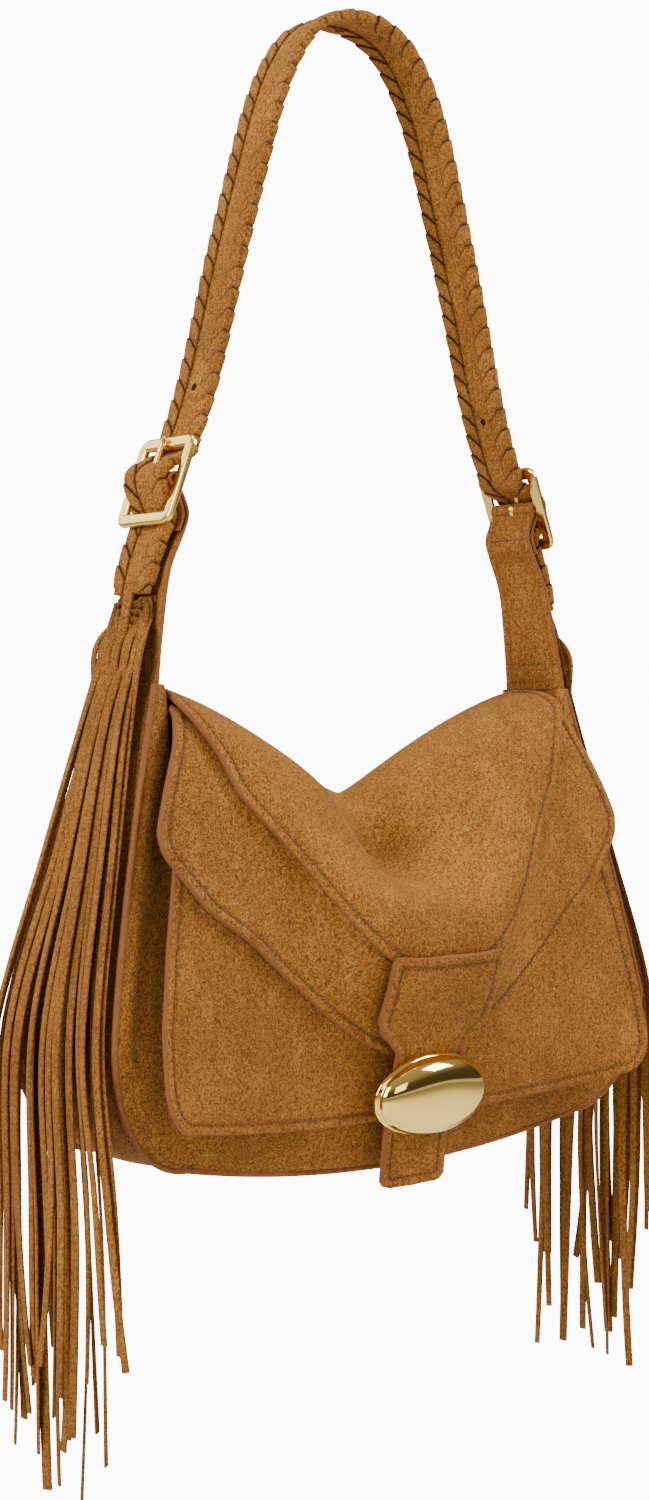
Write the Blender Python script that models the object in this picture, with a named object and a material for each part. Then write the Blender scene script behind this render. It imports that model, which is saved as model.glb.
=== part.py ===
"""Fringed suede shoulder bag with a sagging flap, built in metres with +Z up.

The front faces -Y. The origin lies on the underside of the strap at its crown,
which is where a hook carries the bag. Heights in the functions below are taken
from the bottom of the bag, and `place` lifts them into the part's own frame.
"""
import math
import random

import bmesh
import bpy
from mathutils import Vector

mm = 0.001

# Fits between neighbouring pieces
touch_gap = 0.3 * mm
layer_gap = 1.9 * mm

# Leather thicknesses
body_leather = 2.2 * mm
flap_leather = 2.4 * mm
tab_leather = 1.8 * mm
strap_thickness = 2.6 * mm
fringe_leather = 1.5 * mm

# Body of the bag
bag_top = 240 * mm
top_half_width = 135 * mm
widest_half_width = 172 * mm
widest_height = 76 * mm
bottom_half_width = 128 * mm
bottom_corner_height = 17 * mm
bottom_sag = 13 * mm
top_half_depth = 19.5 * mm
belly_half_depth = 40.5 * mm
bottom_half_depth = 31 * mm
front_bulge = 0.5 * mm
back_bulge = 4 * mm
back_shoulder_drop = 22 * mm
crest_depth = 6 * mm
crest_gap = 1.4 * mm
mouth_drop = 38 * mm
piping_radius = 1.7 * mm

# Sagging top of the flap
top_sag = 54 * mm
sag_half_width = 125 * mm
sag_rounding = 8 * mm
nose_half_width = 70 * mm
flare_half_width = 150 * mm

# Flap layers
flap_top_half_width = 126 * mm
wing_tuck = 16 * mm
wing_parting = 1 * mm
lower_flap_half_width = 155 * mm
lower_flap_corner = 14 * mm
hinge_depth = 10 * mm
hinge_height = 238 * mm

# Closure
closure_top_height = 110 * mm
closure_plate_half_width = 35.5 * mm
closure_neck_half_width = 22 * mm
closure_neck_height = 67 * mm
closure_tail_half_width = 20.5 * mm
closure_gap = 1 * mm
closure_tail_lift = -2 * mm
clasp_height = 42 * mm
clasp_half_length = 36 * mm
clasp_half_height = 20.5 * mm
clasp_dome_height = 14 * mm
clasp_rim = 3 * mm
clasp_tilt_degrees = 9.5
magnet_radius = 7 * mm
magnet_thickness = 1.5 * mm

# Strap and buckles
strap_width = 28 * mm
crown_height = 577 * mm
crown_bend = 48 * mm
lace_pitch = 14 * mm
lace_reach = 5.5 * mm
lace_thickness = 1.0 * mm
lace_slant = 3.6 * mm
lace_gap = 0.55 * mm
buckle_zone = 96 * mm
zone_step = 5.3 * mm
buckle_centre_x = 119.5 * mm
buckle_centre_height = 337 * mm
buckle_lean_degrees = 21
buckle_width = 40 * mm
buckle_height = 42 * mm
bar_width = 4.2 * mm
bar_depth = 3.2 * mm
centre_bar_radius = 1.6 * mm
prong_radius = 1.3 * mm
spare_hole_radius = 1.5 * mm
spare_hole_height = 397 * mm

# Tabs
tab_base_half_depth = 21.5 * mm
tab_top_half_depth = 15 * mm
tab_base_x = 134.6 * mm
tab_middle_x = 131 * mm
tab_middle_height = 263 * mm
tab_upper_x = 125 * mm
tab_upper_height = 293 * mm
tab_turn_down = 22 * mm
prong_slot_half_width = 2.6 * mm
prong_slot_reach = 7 * mm

# Fringe
strands_per_layer = 7
layers_per_side = 3
layer_pitch = 3.2 * mm
strand_width = 5.4 * mm
fringe_front = 45 * mm
fringe_back = 55 * mm
fringe_root_height = 282 * mm
head_pitch = fringe_leather + touch_gap
fringe_head_height = 8 * mm
fringe_rest_height = 80 * mm
fringe_rest_x = 178 * mm
longest_tip = -138 * mm

hang_height = crown_height - strap_thickness / 2


def clear_scene():
    """Remove whatever the scene holds before the bag is built."""
    for item in list(bpy.data.objects):
        bpy.data.objects.remove(item, do_unlink=True)


def material(name, colour, roughness, metallic=0.0):
    """A Principled surface of one colour."""
    made = bpy.data.materials.new(name)
    made.use_nodes = True
    shader = made.node_tree.nodes["Principled BSDF"]
    shader.inputs["Base Color"].default_value = (*colour, 1.0)
    shader.inputs["Roughness"].default_value = roughness
    shader.inputs["Metallic"].default_value = metallic
    return made


def place(point):
    """Lift a point given from the bottom of the bag into the part's frame."""
    return Vector((point[0], point[1], point[2] - hang_height))


def build_object(name, points, faces, finish, pivot=None, smooth_degrees=40):
    """One named object with a closed mesh, its faces turned outwards."""
    origin = Vector(pivot) if pivot is not None else Vector((0, 0, 0))
    mesh = bpy.data.meshes.new(name)
    work = bmesh.new()
    corners = [work.verts.new(place(point) - origin) for point in points]
    for face in faces:
        work.faces.new([corners[index] for index in face])
    bmesh.ops.recalc_face_normals(work, faces=work.faces)
    work.to_mesh(mesh)
    work.free()
    mesh.materials.append(finish)
    mesh.shade_smooth()
    mesh.set_sharp_from_angle(angle=math.radians(smooth_degrees))
    made = bpy.data.objects.new(name, mesh)
    made.location = origin
    bpy.context.scene.collection.objects.link(made)
    return made


def ring_faces(start, stations, around, closed_loop=False):
    """Quads between rings of points, with flat ends unless the loop closes."""
    faces = []
    spans = stations if closed_loop else stations - 1
    for row in range(spans):
        near = start + row * around
        far = start + ((row + 1) % stations) * around
        for step in range(around):
            turn = (step + 1) % around
            faces.append((near + step, near + turn, far + turn, far + step))
    if not closed_loop:
        faces.append(tuple(start + step for step in range(around)))
        last = start + (stations - 1) * around
        faces.append(tuple(last + step for step in reversed(range(around))))
    return faces


def sheet_faces(rows, columns, slit=()):
    """Faces of a thick sheet whose outer grid comes first, then the inner.

    `slit` lists the (row, column) cells that are left out; walls close round them.
    """
    faces = []
    inner = rows * columns
    cells = {(row, column) for row in range(rows - 1) for column in range(columns - 1)} - set(slit)
    for row, column in sorted(cells):
        near = row * columns + column
        far = near + columns
        halves = [(near, near + 1, far + 1), (near, far + 1, far)]
        if column < (columns - 1) / 2:
            halves = [(near, near + 1, far), (near + 1, far + 1, far)]
        for half in halves:
            faces.append(half)
            faces.append(tuple(inner + index for index in reversed(half)))
        sides = [((row - 1, column), near, near + 1), ((row + 1, column), far + 1, far),
                 ((row, column - 1), far, near), ((row, column + 1), near + 1, far + 1)]
        for neighbour, first, second in sides:
            if neighbour not in cells:
                faces.append((second, first, inner + first, inner + second))
    return faces


def smooth_curve(values, position):
    """Catmull-Rom value at a position along a list of values."""
    last = len(values) - 1
    span = min(max(int(math.floor(position)), 0), last - 1)
    part = position - span
    here = values[span]
    after = values[span + 1]
    before = values[span - 1] if span > 0 else 2 * here - after
    beyond = values[span + 2] if span + 2 <= last else 2 * after - here
    return 0.5 * (2 * here + (after - before) * part
                  + (2 * before - 5 * here + 4 * after - beyond) * part ** 2
                  + (3 * here - before - 3 * after + beyond) * part ** 3)


def between(pairs, key):
    """Straight-line value at a key in a list of (key, value) pairs."""
    if key <= pairs[0][0]:
        return pairs[0][1]
    for (low, low_value), (high, high_value) in zip(pairs, pairs[1:]):
        if key <= high:
            return low_value + (high_value - low_value) * (key - low) / (high - low)
    return pairs[-1][1]


def blend(first, second, share):
    """Value that lies a share of the way from the first to the second."""
    return first + (second - first) * share


# Shape of the body

def body_half_width(height):
    """Half width of the body at a height: narrow shoulders and a wide, rounded belly."""
    if height >= widest_height:
        rise = (height - widest_height) / (bag_top - widest_height)
        return blend(widest_half_width, top_half_width, rise ** 1.15)
    fall = (widest_height - height) / (widest_height - bottom_corner_height)
    return bottom_half_width + (widest_half_width - bottom_half_width) * math.sqrt(max(0.0, 1 - fall ** 2))


def body_half_depth(height):
    """Distance of the seams from the middle plane at a height."""
    if height >= widest_height:
        rise = (height - widest_height) / (bag_top - widest_height)
        return blend(belly_half_depth, top_half_depth, rise ** 0.95)
    fall = (widest_height - height) / widest_height
    return blend(belly_half_depth, bottom_half_depth, fall ** 1.5)


def body_rows():
    """(height, half width) pairs down one side of the body and along its bottom."""
    rows = []
    side_steps = 6
    corner_steps = 4
    bottom_steps = 3
    for step in range(side_steps):
        height = blend(bag_top, widest_height, step / side_steps)
        rows.append((height, body_half_width(height)))
    for step in range(corner_steps):
        angle = math.pi / 2 * step / corner_steps
        height = widest_height - (widest_height - bottom_corner_height) * math.sin(angle)
        rows.append((height, body_half_width(height)))
    for step in range(bottom_steps):
        share = 1 - step / bottom_steps
        height = bottom_corner_height - bottom_sag * (1 - share ** 2)
        rows.append((height, bottom_half_width * share))
    return rows


def crest_weight(x):
    """One at the middle of the sagging top, fading to nought at the shoulders."""
    reach = math.sqrt(x * x + sag_rounding ** 2) - sag_rounding
    return max(0.0, 1 - reach / sag_half_width) ** 1.4


def nose_weight(x):
    """One over the bulging middle of the flap's front, fading to its sides."""
    return math.exp(-0.7 * (abs(x) / nose_half_width) ** 4)


def flare_weight(x):
    """One at the middle of the flap's lower edge, nought where its corners flare."""
    return max(-0.15, 1 - (abs(x) / flare_half_width) ** 2.5)


def mouth_height(x):
    """Height of the front panel's upper edge, which sinks with the flap above it."""
    return smooth_curve(section_at(x), 0).z - mouth_drop


# Shape of the flap: (depth, height) stations down its outer face at the side and in the middle
side_section = [(6, 241), (-14, 240), (-29, 232), (-39, 213), (-45, 192), (-50, 169),
                (-55, 141), (-60, 111), (-65, 79), (-71, 43), (-76, 8)]
middle_section = [(6, 187), (-17, 177), (-39, 161), (-60, 147), (-72.5, 131), (-75.5, 113),
                  (-70.5, 95), (-62.8, 77), (-59, 56), (-55, 29), (-51, -6)]
crest_stations = 3
nose_stations = 5
lower_edge_station = 9
row_step = 0.55
last_station = 10


def section_at(x):
    """Depth and height stations of the flap's outer face at a distance from the middle."""
    stations = []
    for index, (side, middle) in enumerate(zip(side_section, middle_section)):
        if index < crest_stations:
            weight = crest_weight(x)
        elif index < crest_stations + nose_stations:
            weight = nose_weight(x)
        else:
            weight = flare_weight(x)
        stations.append(Vector((0, blend(side[0], middle[0], weight) * mm,
                                blend(side[1], middle[1], weight) * mm)))
    return stations


def flap_point(x, station, lift=0.0):
    """Point of the flap's outer face, raised along the face's own normal."""
    step = 0.02
    here = smooth_curve(section_at(x), station)
    down = smooth_curve(section_at(x), station + step) - smooth_curve(section_at(x), station - step)
    side_step = 1 * mm
    across = (smooth_curve(section_at(x + side_step), station)
              - smooth_curve(section_at(x - side_step), station))
    across += Vector((2 * side_step, 0, 0))
    normal = down.cross(across).normalized()
    return Vector((x, here.y, here.z)) + normal * lift


def station_at(x, height):
    """Station down the front at which the flap's outer face has a given height."""
    low = 1.0
    high = float(last_station)
    stations = section_at(x)
    for _ in range(30):
        middle = (low + high) / 2
        if smooth_curve(stations, middle).z > height:
            low = middle
        else:
            high = middle
    return low


def outline_by_station(outline, start_station, start_half_width):
    """Turn (half width, height) corners into (station, half width) pairs."""
    pairs = [(start_station, start_half_width)]
    for half_width, height in outline:
        station = station_at(half_width * mm, height * mm)
        if station > pairs[-1][0] + 0.02:
            pairs.append((station, half_width * mm))
    return pairs


def flap_sheet(name, outline, stations, columns, outer_lift, finish, pivot, crowd=1.0):
    """A layer of the flap: a thick sheet that follows the sagging face within an outline."""
    outer = []
    inner = []
    for station in stations:
        half_width = between(outline, station)
        for column in range(columns):
            share = 2 * column / (columns - 1) - 1
            x = half_width * math.copysign(abs(share) ** crowd, share)
            outer.append(flap_point(x, station, outer_lift))
            inner.append(flap_point(x, station, outer_lift - flap_leather))
    return build_object(name, outer + inner, sheet_faces(len(stations), columns), finish, pivot)


def build_wing(name, side, outline, covering, stations, finish, pivot):
    """One wing: a strip sewn under the centre layer's edge that runs out to the wing's tip."""
    outer = []
    inner = []
    columns = 7
    for station in stations:
        far = between(outline, station)
        covered = between(covering, station) if station < covering[-1][0] else 0.0
        near = min(max(covered - wing_tuck, wing_parting), far - 4 * mm)
        for column in range(columns):
            x = side * blend(near, far, (column / (columns - 1)) ** 1.15)
            outer.append(flap_point(x, station, wing_lift))
            inner.append(flap_point(x, station, wing_lift - flap_leather))
    return build_object(name, outer + inner, sheet_faces(len(stations), columns), finish, pivot)


def shared_rows(first, last):
    """First and last station with the rows between that every layer of the flap shares."""
    rows = [index * row_step for index in range(int(last / row_step) + 1)]
    return [first] + [row for row in rows if first + row_step / 4 < row < last - row_step / 4] + [last]


layer_step = flap_leather + layer_gap
wing_lift = -layer_step
lower_lift = -2 * layer_step


def closure_lift(height):
    """Lift of the closure tab's outer face: over the centre layer above, lower at its tail."""
    return between([(20 * mm, closure_tail_lift), (62 * mm, flap_leather + closure_gap)], height)


# Body pieces

def build_front_panel(finish):
    """Front of the body, seamed round its sides and bottom, with a sinking mouth."""
    rows = body_rows()
    shares = [-1, -0.968, -0.93, -0.62, -0.31, 0, 0.31, 0.62, 0.93, 0.968, 1]
    outer = []
    inner = []
    for height, half_width in rows:
        rise = max(0.0, (height - bottom_corner_height) / (bag_top - bottom_corner_height))
        for share in shares:
            x = half_width * share
            level = height
            if abs(share) < 0.95:
                level -= (bag_top - mouth_height(top_half_width * share)) * rise
            swell = front_bulge * (1 - share ** 2)
            depth = -body_half_depth(height) - touch_gap - swell
            outer.append(Vector((x, depth - body_leather, level)))
            inner.append(Vector((x, depth, level)))
    return build_object("front_panel", outer + inner, sheet_faces(len(rows), len(shares)), finish)


def back_top(x):
    """Height of the back's upper edge, which meets the flap along the sagging crest."""
    return smooth_curve(section_at(x), 0).z


def build_back_panel(finish):
    """Back of the body, which curves over its shoulder up to the crest of the flap."""
    shoulder = bag_top - back_shoulder_drop
    rows = [(shoulder, body_half_width(shoulder))]
    rows += [row for row in body_rows() if row[0] < shoulder]
    shares = [-1, -0.968, -0.88, -0.62, -0.31, 0, 0.31, 0.62, 0.88, 0.968, 1]
    over_steps = 4
    outer = []
    inner = []
    for step in range(over_steps):
        angle = math.pi / 2 * (1 - step / over_steps)
        side_height = blend(shoulder, bag_top, 1 - step / over_steps)
        for share in shares:
            if abs(share) > 0.95:
                seam = Vector((body_half_width(side_height) * share,
                               body_half_depth(side_height) + touch_gap, side_height))
                outer.append(seam + Vector((0, body_leather, 0)))
                inner.append(seam)
                continue
            x = blend(body_half_width(shoulder), top_half_width, math.sin(angle) ** 2) * share
            seat = Vector((x, crest_depth + crest_gap, back_top(x) - back_shoulder_drop))
            reach = body_half_depth(shoulder) + touch_gap - seat.y
            for wall, ring in ((body_leather, outer), (0.0, inner)):
                ring.append(seat + Vector((0, (reach + wall) * math.cos(angle),
                                           (back_shoulder_drop - body_leather + wall) * math.sin(angle))))
    for height, half_width in rows:
        rise = max(0.0, (height - bottom_corner_height) / (shoulder - bottom_corner_height))
        for share in shares:
            x = half_width * share
            sink = 0.0 if abs(share) > 0.95 else (bag_top - back_top(top_half_width * share)) * rise
            swell = back_bulge * max(0.0, 0.94 - share ** 2) * math.sin(math.pi * min(1.0, rise))
            depth = body_half_depth(height) + touch_gap + swell
            outer.append(Vector((x, depth + body_leather, height - sink)))
            inner.append(Vector((x, depth, height - sink)))
    faces = sheet_faces(over_steps + len(rows), len(shares))
    return build_object("back_panel", outer + inner, faces, finish)


def body_outline():
    """(x, height) points of the seam from the left top, round the bottom, to the right top."""
    left = [(-half_width, height) for height, half_width in body_rows()]
    bottom = [(0.0, bottom_corner_height - bottom_sag)]
    return left + bottom + [(-x, height) for x, height in reversed(left)]


def outline_normals(outline):
    """Outward unit normals of the seam line in the XZ plane."""
    normals = []
    for index in range(len(outline)):
        before = outline[max(index - 1, 0)]
        after = outline[min(index + 1, len(outline) - 1)]
        along = Vector((after[0] - before[0], 0, after[1] - before[1])).normalized()
        normals.append(Vector((along.z, 0, -along.x)))
    return normals


def build_gusset(finish):
    """One band that runs down a side, under the bag and up the other side."""
    outline = body_outline()
    normals = outline_normals(outline)
    depths = [-1.0, 0.0, 1.0]
    points = []
    for (x, height), normal in zip(outline, normals):
        seat = Vector((x, 0, height))
        half = body_half_depth(height)
        swell = 2 * mm
        for depth in depths:
            raised = swell * (1 - depth ** 2)
            points.append(seat + normal * raised + Vector((0, depth * half, 0)))
        for depth in reversed(depths):
            raised = swell * (1 - depth ** 2) - body_leather
            points.append(seat + normal * raised + Vector((0, depth * half, 0)))
    faces = ring_faces(0, len(outline), 2 * len(depths))
    return build_object("gusset", points, faces, finish)


def build_piping(name, side, finish):
    """Rolled cord along the seam between a panel and the gusset."""
    outline = body_outline()
    normals = outline_normals(outline)
    points = []
    for (x, height), normal in zip(outline, normals):
        seat = Vector((x, side * (body_half_depth(height) + touch_gap + body_leather / 2), height))
        seat += normal * (piping_radius + 2 * touch_gap)
        for corner in range(4):
            angle = 2 * math.pi * corner / 4
            points.append(seat + normal * (piping_radius * math.cos(angle))
                          + Vector((0, piping_radius * math.sin(angle), 0)))
    return build_object(name, points, ring_faces(0, len(outline), 4), finish)


# Closure and clasp

def closure_outline():
    """(station, half width) pairs of the closure tab: plate, stepped neck and tail."""
    corners = [
        (closure_plate_half_width - 3 * mm, closure_top_height),
        (closure_plate_half_width, closure_top_height - 3 * mm),
        (closure_plate_half_width - 1 * mm, closure_neck_height + 9 * mm),
        (closure_plate_half_width - 4 * mm, closure_neck_height + 4 * mm),
        (closure_neck_half_width, closure_neck_height),
        (closure_neck_half_width - 2 * mm, closure_neck_height - 12 * mm),
        (closure_tail_half_width, clasp_height - 15 * mm),
        (closure_tail_half_width, 2 * mm),
        (closure_tail_half_width - 3 * mm, -2 * mm),
    ]
    return [(station_at(0.0, height), height, half_width) for half_width, height in corners]


def build_closure_tab(finish, pivot):
    """Tab sewn over the point of the flap, which carries the clasp and hangs below it."""
    columns = 5
    outline = closure_outline()
    extra = [(station_at(0.0, height), height, between([(h, w) for _, h, w in reversed(outline)], height))
             for height in (95 * mm, 84 * mm, 45 * mm, 12 * mm)]
    rows = sorted(outline + extra)
    outer = []
    inner = []
    for station, height, half_width in rows:
        lift = closure_lift(height)
        for column in range(columns):
            x = half_width * (2 * column / (columns - 1) - 1)
            outer.append(flap_point(x, station, lift))
            inner.append(flap_point(x, station, lift - flap_leather))
    return build_object("closure_tab", outer + inner, sheet_faces(len(rows), columns), finish, pivot)


clasp_tilt = math.radians(clasp_tilt_degrees)
clasp_facing = Vector((0, -math.cos(clasp_tilt), -math.sin(clasp_tilt)))


def resting_height(surface, half_across, half_up, outwards):
    """How far a flat piece must stand from the clasp's middle to rest on a surface."""
    middle = surface(0.0, clasp_height)
    reaches = []
    for across in (-1.0, -0.5, 0.0, 0.5, 1.0):
        for up in (-1.0, -0.5, 0.0, 0.5, 1.0):
            if (across * half_across / clasp_half_length) ** 2 + up ** 2 <= 1:
                spot = surface(across * half_across, clasp_height + up * half_up)
                reaches.append((spot - middle).dot(clasp_facing) * outwards)
    return middle, max(reaches)


def closure_face(x, height):
    """Point of the closure tab's outer face."""
    return flap_point(x, station_at(0.0, height), closure_lift(height))


def lower_flap_back(x, height):
    """Point of the lower flap's inner face."""
    return flap_point(x, station_at(0.0, height), lower_lift - flap_leather)


def build_clasp_dome(finish, pivot):
    """Polished oval dome with a short straight rim."""
    middle, reach = resting_height(closure_face, closure_neck_half_width, clasp_half_height, 1)
    facing = clasp_facing
    seat = middle + facing * (reach + 1.6 * touch_gap)
    across = Vector((1, 0, 0))
    up = across.cross(facing).normalized()
    around = 20
    profile = [(0.0, 1.0), (clasp_rim, 1.0)]
    for angle in (25, 45, 62, 77):
        turn = math.radians(angle)
        profile.append((clasp_rim + (clasp_dome_height - clasp_rim) * math.sin(turn), math.cos(turn)))
    points = []
    for rise, share in profile:
        for corner in range(around):
            angle = 2 * math.pi * corner / around
            points.append(seat + facing * rise
                          + across * (clasp_half_length * share * math.cos(angle))
                          + up * (clasp_half_height * share * math.sin(angle)))
    return build_object("clasp_dome", points, ring_faces(0, len(profile), around), finish, pivot, 60)


def build_disc(name, centre, facing, finish, pivot=None):
    """Flat round magnet whose front face is centred on a point."""
    across = Vector((1, 0, 0))
    up = across.cross(facing).normalized()
    around = 14
    points = []
    for depth in (0.0, -magnet_thickness):
        for corner in range(around):
            angle = 2 * math.pi * corner / around
            points.append(centre + facing * depth + across * (magnet_radius * math.cos(angle))
                          + up * (magnet_radius * math.sin(angle)))
    return build_object(name, points, ring_faces(0, 2, around), finish, pivot)


# Strap, lacing, buckles and tabs

lean = math.radians(buckle_lean_degrees)
frame_up = Vector((-math.sin(lean), 0, math.cos(lean)))
frame_out = Vector((math.cos(lean), 0, math.sin(lean)))
frame_centre = Vector((buckle_centre_x, 0, buckle_centre_height))
bar_reach = (buckle_height - bar_width) / 2
laced_half = strap_thickness / 2 + lace_gap + lace_thickness
behind_bar = -(bar_depth / 2 + laced_half + 2 * touch_gap)
loop_radius = centre_bar_radius + 1.6 * touch_gap + tab_leather / 2
over_bar = loop_radius + tab_leather / 2 + laced_half + 1.5 * touch_gap


def on_frame(along, out):
    """Point in the right buckle's own directions: up its length and out from the bag."""
    return frame_centre + frame_up * along + frame_out * out


def strap_route():
    """Points of the strap's middle line on the right, from its lower end to the crown."""
    return [
        Vector((134 * mm, 0, 283 * mm)),
        Vector((129.5 * mm, 0, 299 * mm)),
        on_frame(-bar_reach - 3 * mm, behind_bar),
        on_frame(-bar_reach + 3.2 * mm, behind_bar),
        on_frame(0.0, over_bar),
        on_frame(bar_reach - 3.2 * mm, behind_bar),
        on_frame(bar_reach + 3 * mm, behind_bar),
        Vector((99 * mm, 0, 375 * mm)),
        Vector((90.5 * mm, 0, 402 * mm)),
        Vector((78.5 * mm, 0, 447 * mm)),
        Vector((66 * mm, 0, 490 * mm)),
        Vector((55 * mm, 0, 525 * mm)),
        Vector((44 * mm, 0, 549 * mm)),
        Vector((31 * mm, 0, 566 * mm)),
        Vector((16 * mm, 0, 574.5 * mm)),
        Vector((0, 0, crown_height)),
    ]


def full_strap_route():
    """The strap's whole middle line, from the left end over the crown to the right end."""
    right = strap_route()
    left = [Vector((-point.x, 0, point.z)) for point in right]
    return left + list(reversed(right[:-1]))


def measured_route(route, fineness=8):
    """Closely spaced points along a smooth route, with the distance run to each."""
    dense = []
    for index in range((len(route) - 1) * fineness + 1):
        dense.append(smooth_curve(route, index / fineness))
    run = [0.0]
    for first, second in zip(dense, dense[1:]):
        run.append(run[-1] + (second - first).length)
    return dense, run


def route_frame(dense, run, distance):
    """Point, direction and outward normal at a distance along a measured route."""
    low = 0
    while low < len(run) - 2 and run[low + 1] < distance:
        low += 1
    share = (distance - run[low]) / (run[low + 1] - run[low])
    point = dense[low].lerp(dense[low + 1], share)
    before = dense[max(low - 2, 0)]
    after = dense[min(low + 3, len(dense) - 1)]
    along = (after - before).normalized()
    outward = Vector((-along.z, 0, along.x))
    return point, along, outward


def lace_marks(length):
    """(distance, tooth, slant) marks along the strap: close and square near the buckles."""
    marks = []
    zone_steps = int(buckle_zone / zone_step)
    for index in range(zone_steps + 1):
        marks.append((index * zone_step, 0.45 + 0.55 * (index % 2), 0.0))
    start = zone_steps * zone_step
    turns = int((length - 2 * start) / lace_pitch)
    pitch = (length - 2 * start) / turns
    for turn in range(turns):
        for share, tooth in ((0.2, 0.45), (0.98, 1.0)):
            if turn < turns - 1 or share < 0.5:
                marks.append((start + (turn + share) * pitch, tooth, lace_slant))
    for index in range(zone_steps, -1, -1):
        marks.append((length - index * zone_step, 0.45 + 0.55 * (index % 2), 0.0))
    return marks


def add_cutter(target, name, points, faces, operation="DIFFERENCE"):
    """Hidden shape that an exact Boolean takes from, or adds to, a piece."""
    cutter = build_object(name, points, faces, target.data.materials[0])
    cutter.hide_render = True
    cutter.display_type = "WIRE"
    modifier = target.modifiers.new(name, "BOOLEAN")
    modifier.operation = operation
    modifier.solver = "EXACT"
    modifier.object = cutter
    return cutter


def tube(route, radius, around=8):
    """Points and faces of a round bar that follows a route lying in an XZ plane."""
    points = []
    for index, point in enumerate(route):
        before = route[max(index - 1, 0)]
        after = route[min(index + 1, len(route) - 1)]
        along = (after - before).normalized()
        outward = Vector((-along.z, 0, along.x))
        for corner in range(around):
            angle = 2 * math.pi * (corner + 0.5) / around
            points.append(point + outward * (radius * math.cos(angle))
                          + Vector((0, radius * math.sin(angle), 0)))
    return points, ring_faces(0, len(route), around)


def prong_route(side):
    """Middle line of a prong: round the centre bar, up through the strap, onto the top bar."""
    ring = centre_bar_radius + touch_gap + prong_radius
    route = []
    for degrees in (120, 165, 210, 255, 300, 345):
        angle = math.radians(degrees)
        route.append(on_frame(ring * math.sin(angle), ring * math.cos(angle)))
    rest = bar_depth / 2 + touch_gap + prong_radius
    route.append(on_frame(3 * mm, rest))
    route.append(on_frame(bar_reach, rest))
    route.append(on_frame(bar_reach + 3.2 * mm, rest))
    return [Vector((side * point.x, point.y, point.z)) for point in route]


def build_strap(finish):
    """The strap's smooth band, cut for the prongs and for a spare hole on each side."""
    dense, run = measured_route(full_strap_route())
    half = strap_width / 2
    stations = []
    for distance, tooth, slant in lace_marks(run[-1]):
        point, _, outward = route_frame(dense, run, distance)
        if slant == 0.0 or tooth == 1.0 or point.z > crown_height - crown_bend:
            stations.append((point, outward))
    points = []
    for point, outward in stations:
        rise = outward * (strap_thickness / 2)
        for across, lift in ((-half, rise), (half, rise), (half, -rise), (-half, -rise)):
            points.append(point + Vector((0, across, 0)) + lift)
    strap = build_object("shoulder_strap", points, ring_faces(0, len(stations), 4), finish)
    for side, word in ((-1, "left"), (1, "right")):
        shank_out = bar_depth / 2 + touch_gap + prong_radius
        shank = [on_frame(along, shank_out) for along in (-3 * mm, 14 * mm)]
        shank = [Vector((side * point.x, point.y, point.z)) for point in shank]
        cut_points, cut_faces = tube(shank, prong_radius + 1.5 * touch_gap, 6)
        add_cutter(strap, word + "_prong_hole", cut_points, cut_faces)
        height = spare_hole_height
        centre = Vector((side * 92 * mm, 0, height))
        slope = Vector((side * math.cos(lean * 0.75), 0, math.sin(lean * 0.75)))
        hole = [centre - slope * 6 * mm, centre + slope * 6 * mm]
        hole_points, hole_faces = tube(hole, spare_hole_radius, 6)
        add_cutter(strap, word + "_spare_hole", hole_points, hole_faces)
    return strap


def build_lacing(name, edge, finish):
    """Leather thong whipped over one edge of the strap, its turns leaning like saw teeth."""
    dense, run = measured_route(full_strap_route())
    marks = lace_marks(run[-1])
    half = strap_width / 2
    face = strap_thickness / 2 + lace_gap
    points = []
    for middle, tooth, slant in marks:
        lip = lace_thickness * tooth
        depth = lace_reach * (0.6 + 0.4 * tooth)
        spots = [
            (slant, half - depth, face + lip),
            (slant * 0.6, half + touch_gap + lip, face + lip * 0.5),
            (-slant * 0.6, half + touch_gap + lip, -face - lip * 0.5),
            (-slant, half - depth, -face - lip),
            (-slant, half + touch_gap, -face),
            (slant, half + touch_gap, face),
        ]
        for shift, across, lift in spots:
            distance = min(max(middle + shift, 0.0), run[-1])
            point, _, outward = route_frame(dense, run, distance)
            points.append(point + Vector((0, edge * across, 0)) + outward * lift)
    return build_object(name, points, ring_faces(0, len(marks), 6), finish, None, 25)


def build_buckle(word, side, finish):
    """Rectangular frame with bevelled bars and a round centre bar."""
    half_across = (buckle_width - bar_width) / 2
    corner = 2.2 * mm
    path = []
    for across_sign, along_sign in ((1, 1), (-1, 1), (-1, -1), (1, -1)):
        first = (across_sign * half_across, along_sign * (bar_reach - corner))
        second = (across_sign * (half_across - corner), along_sign * bar_reach)
        path += [first, second] if across_sign == along_sign else [second, first]
    section = [(0.5, 0.22), (0.22, 0.5), (-0.22, 0.5), (-0.5, 0.22),
               (-0.5, -0.22), (-0.22, -0.5), (0.22, -0.5), (0.5, -0.22)]
    points = []
    for across, along in path:
        away = Vector((math.copysign(1, across), math.copysign(1, along)))
        for wide, deep in section:
            shift = away * (wide * bar_width)
            point = on_frame(along + shift.y, deep * bar_depth) + Vector((0, across + shift.x, 0))
            points.append(Vector((side * point.x, point.y, point.z)))
    frame = build_object(word + "_buckle_frame", points, ring_faces(0, len(path), len(section), True), finish)
    bar = []
    around = 8
    for across in (-half_across, half_across):
        for corner_index in range(around):
            angle = 2 * math.pi * (corner_index + 0.5) / around
            point = on_frame(centre_bar_radius * math.sin(angle), centre_bar_radius * math.cos(angle))
            bar.append(Vector((side * point.x, across, point.z)))
    add_cutter(frame, word + "_centre_bar", bar, ring_faces(0, 2, around), "UNION")
    return frame


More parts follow.
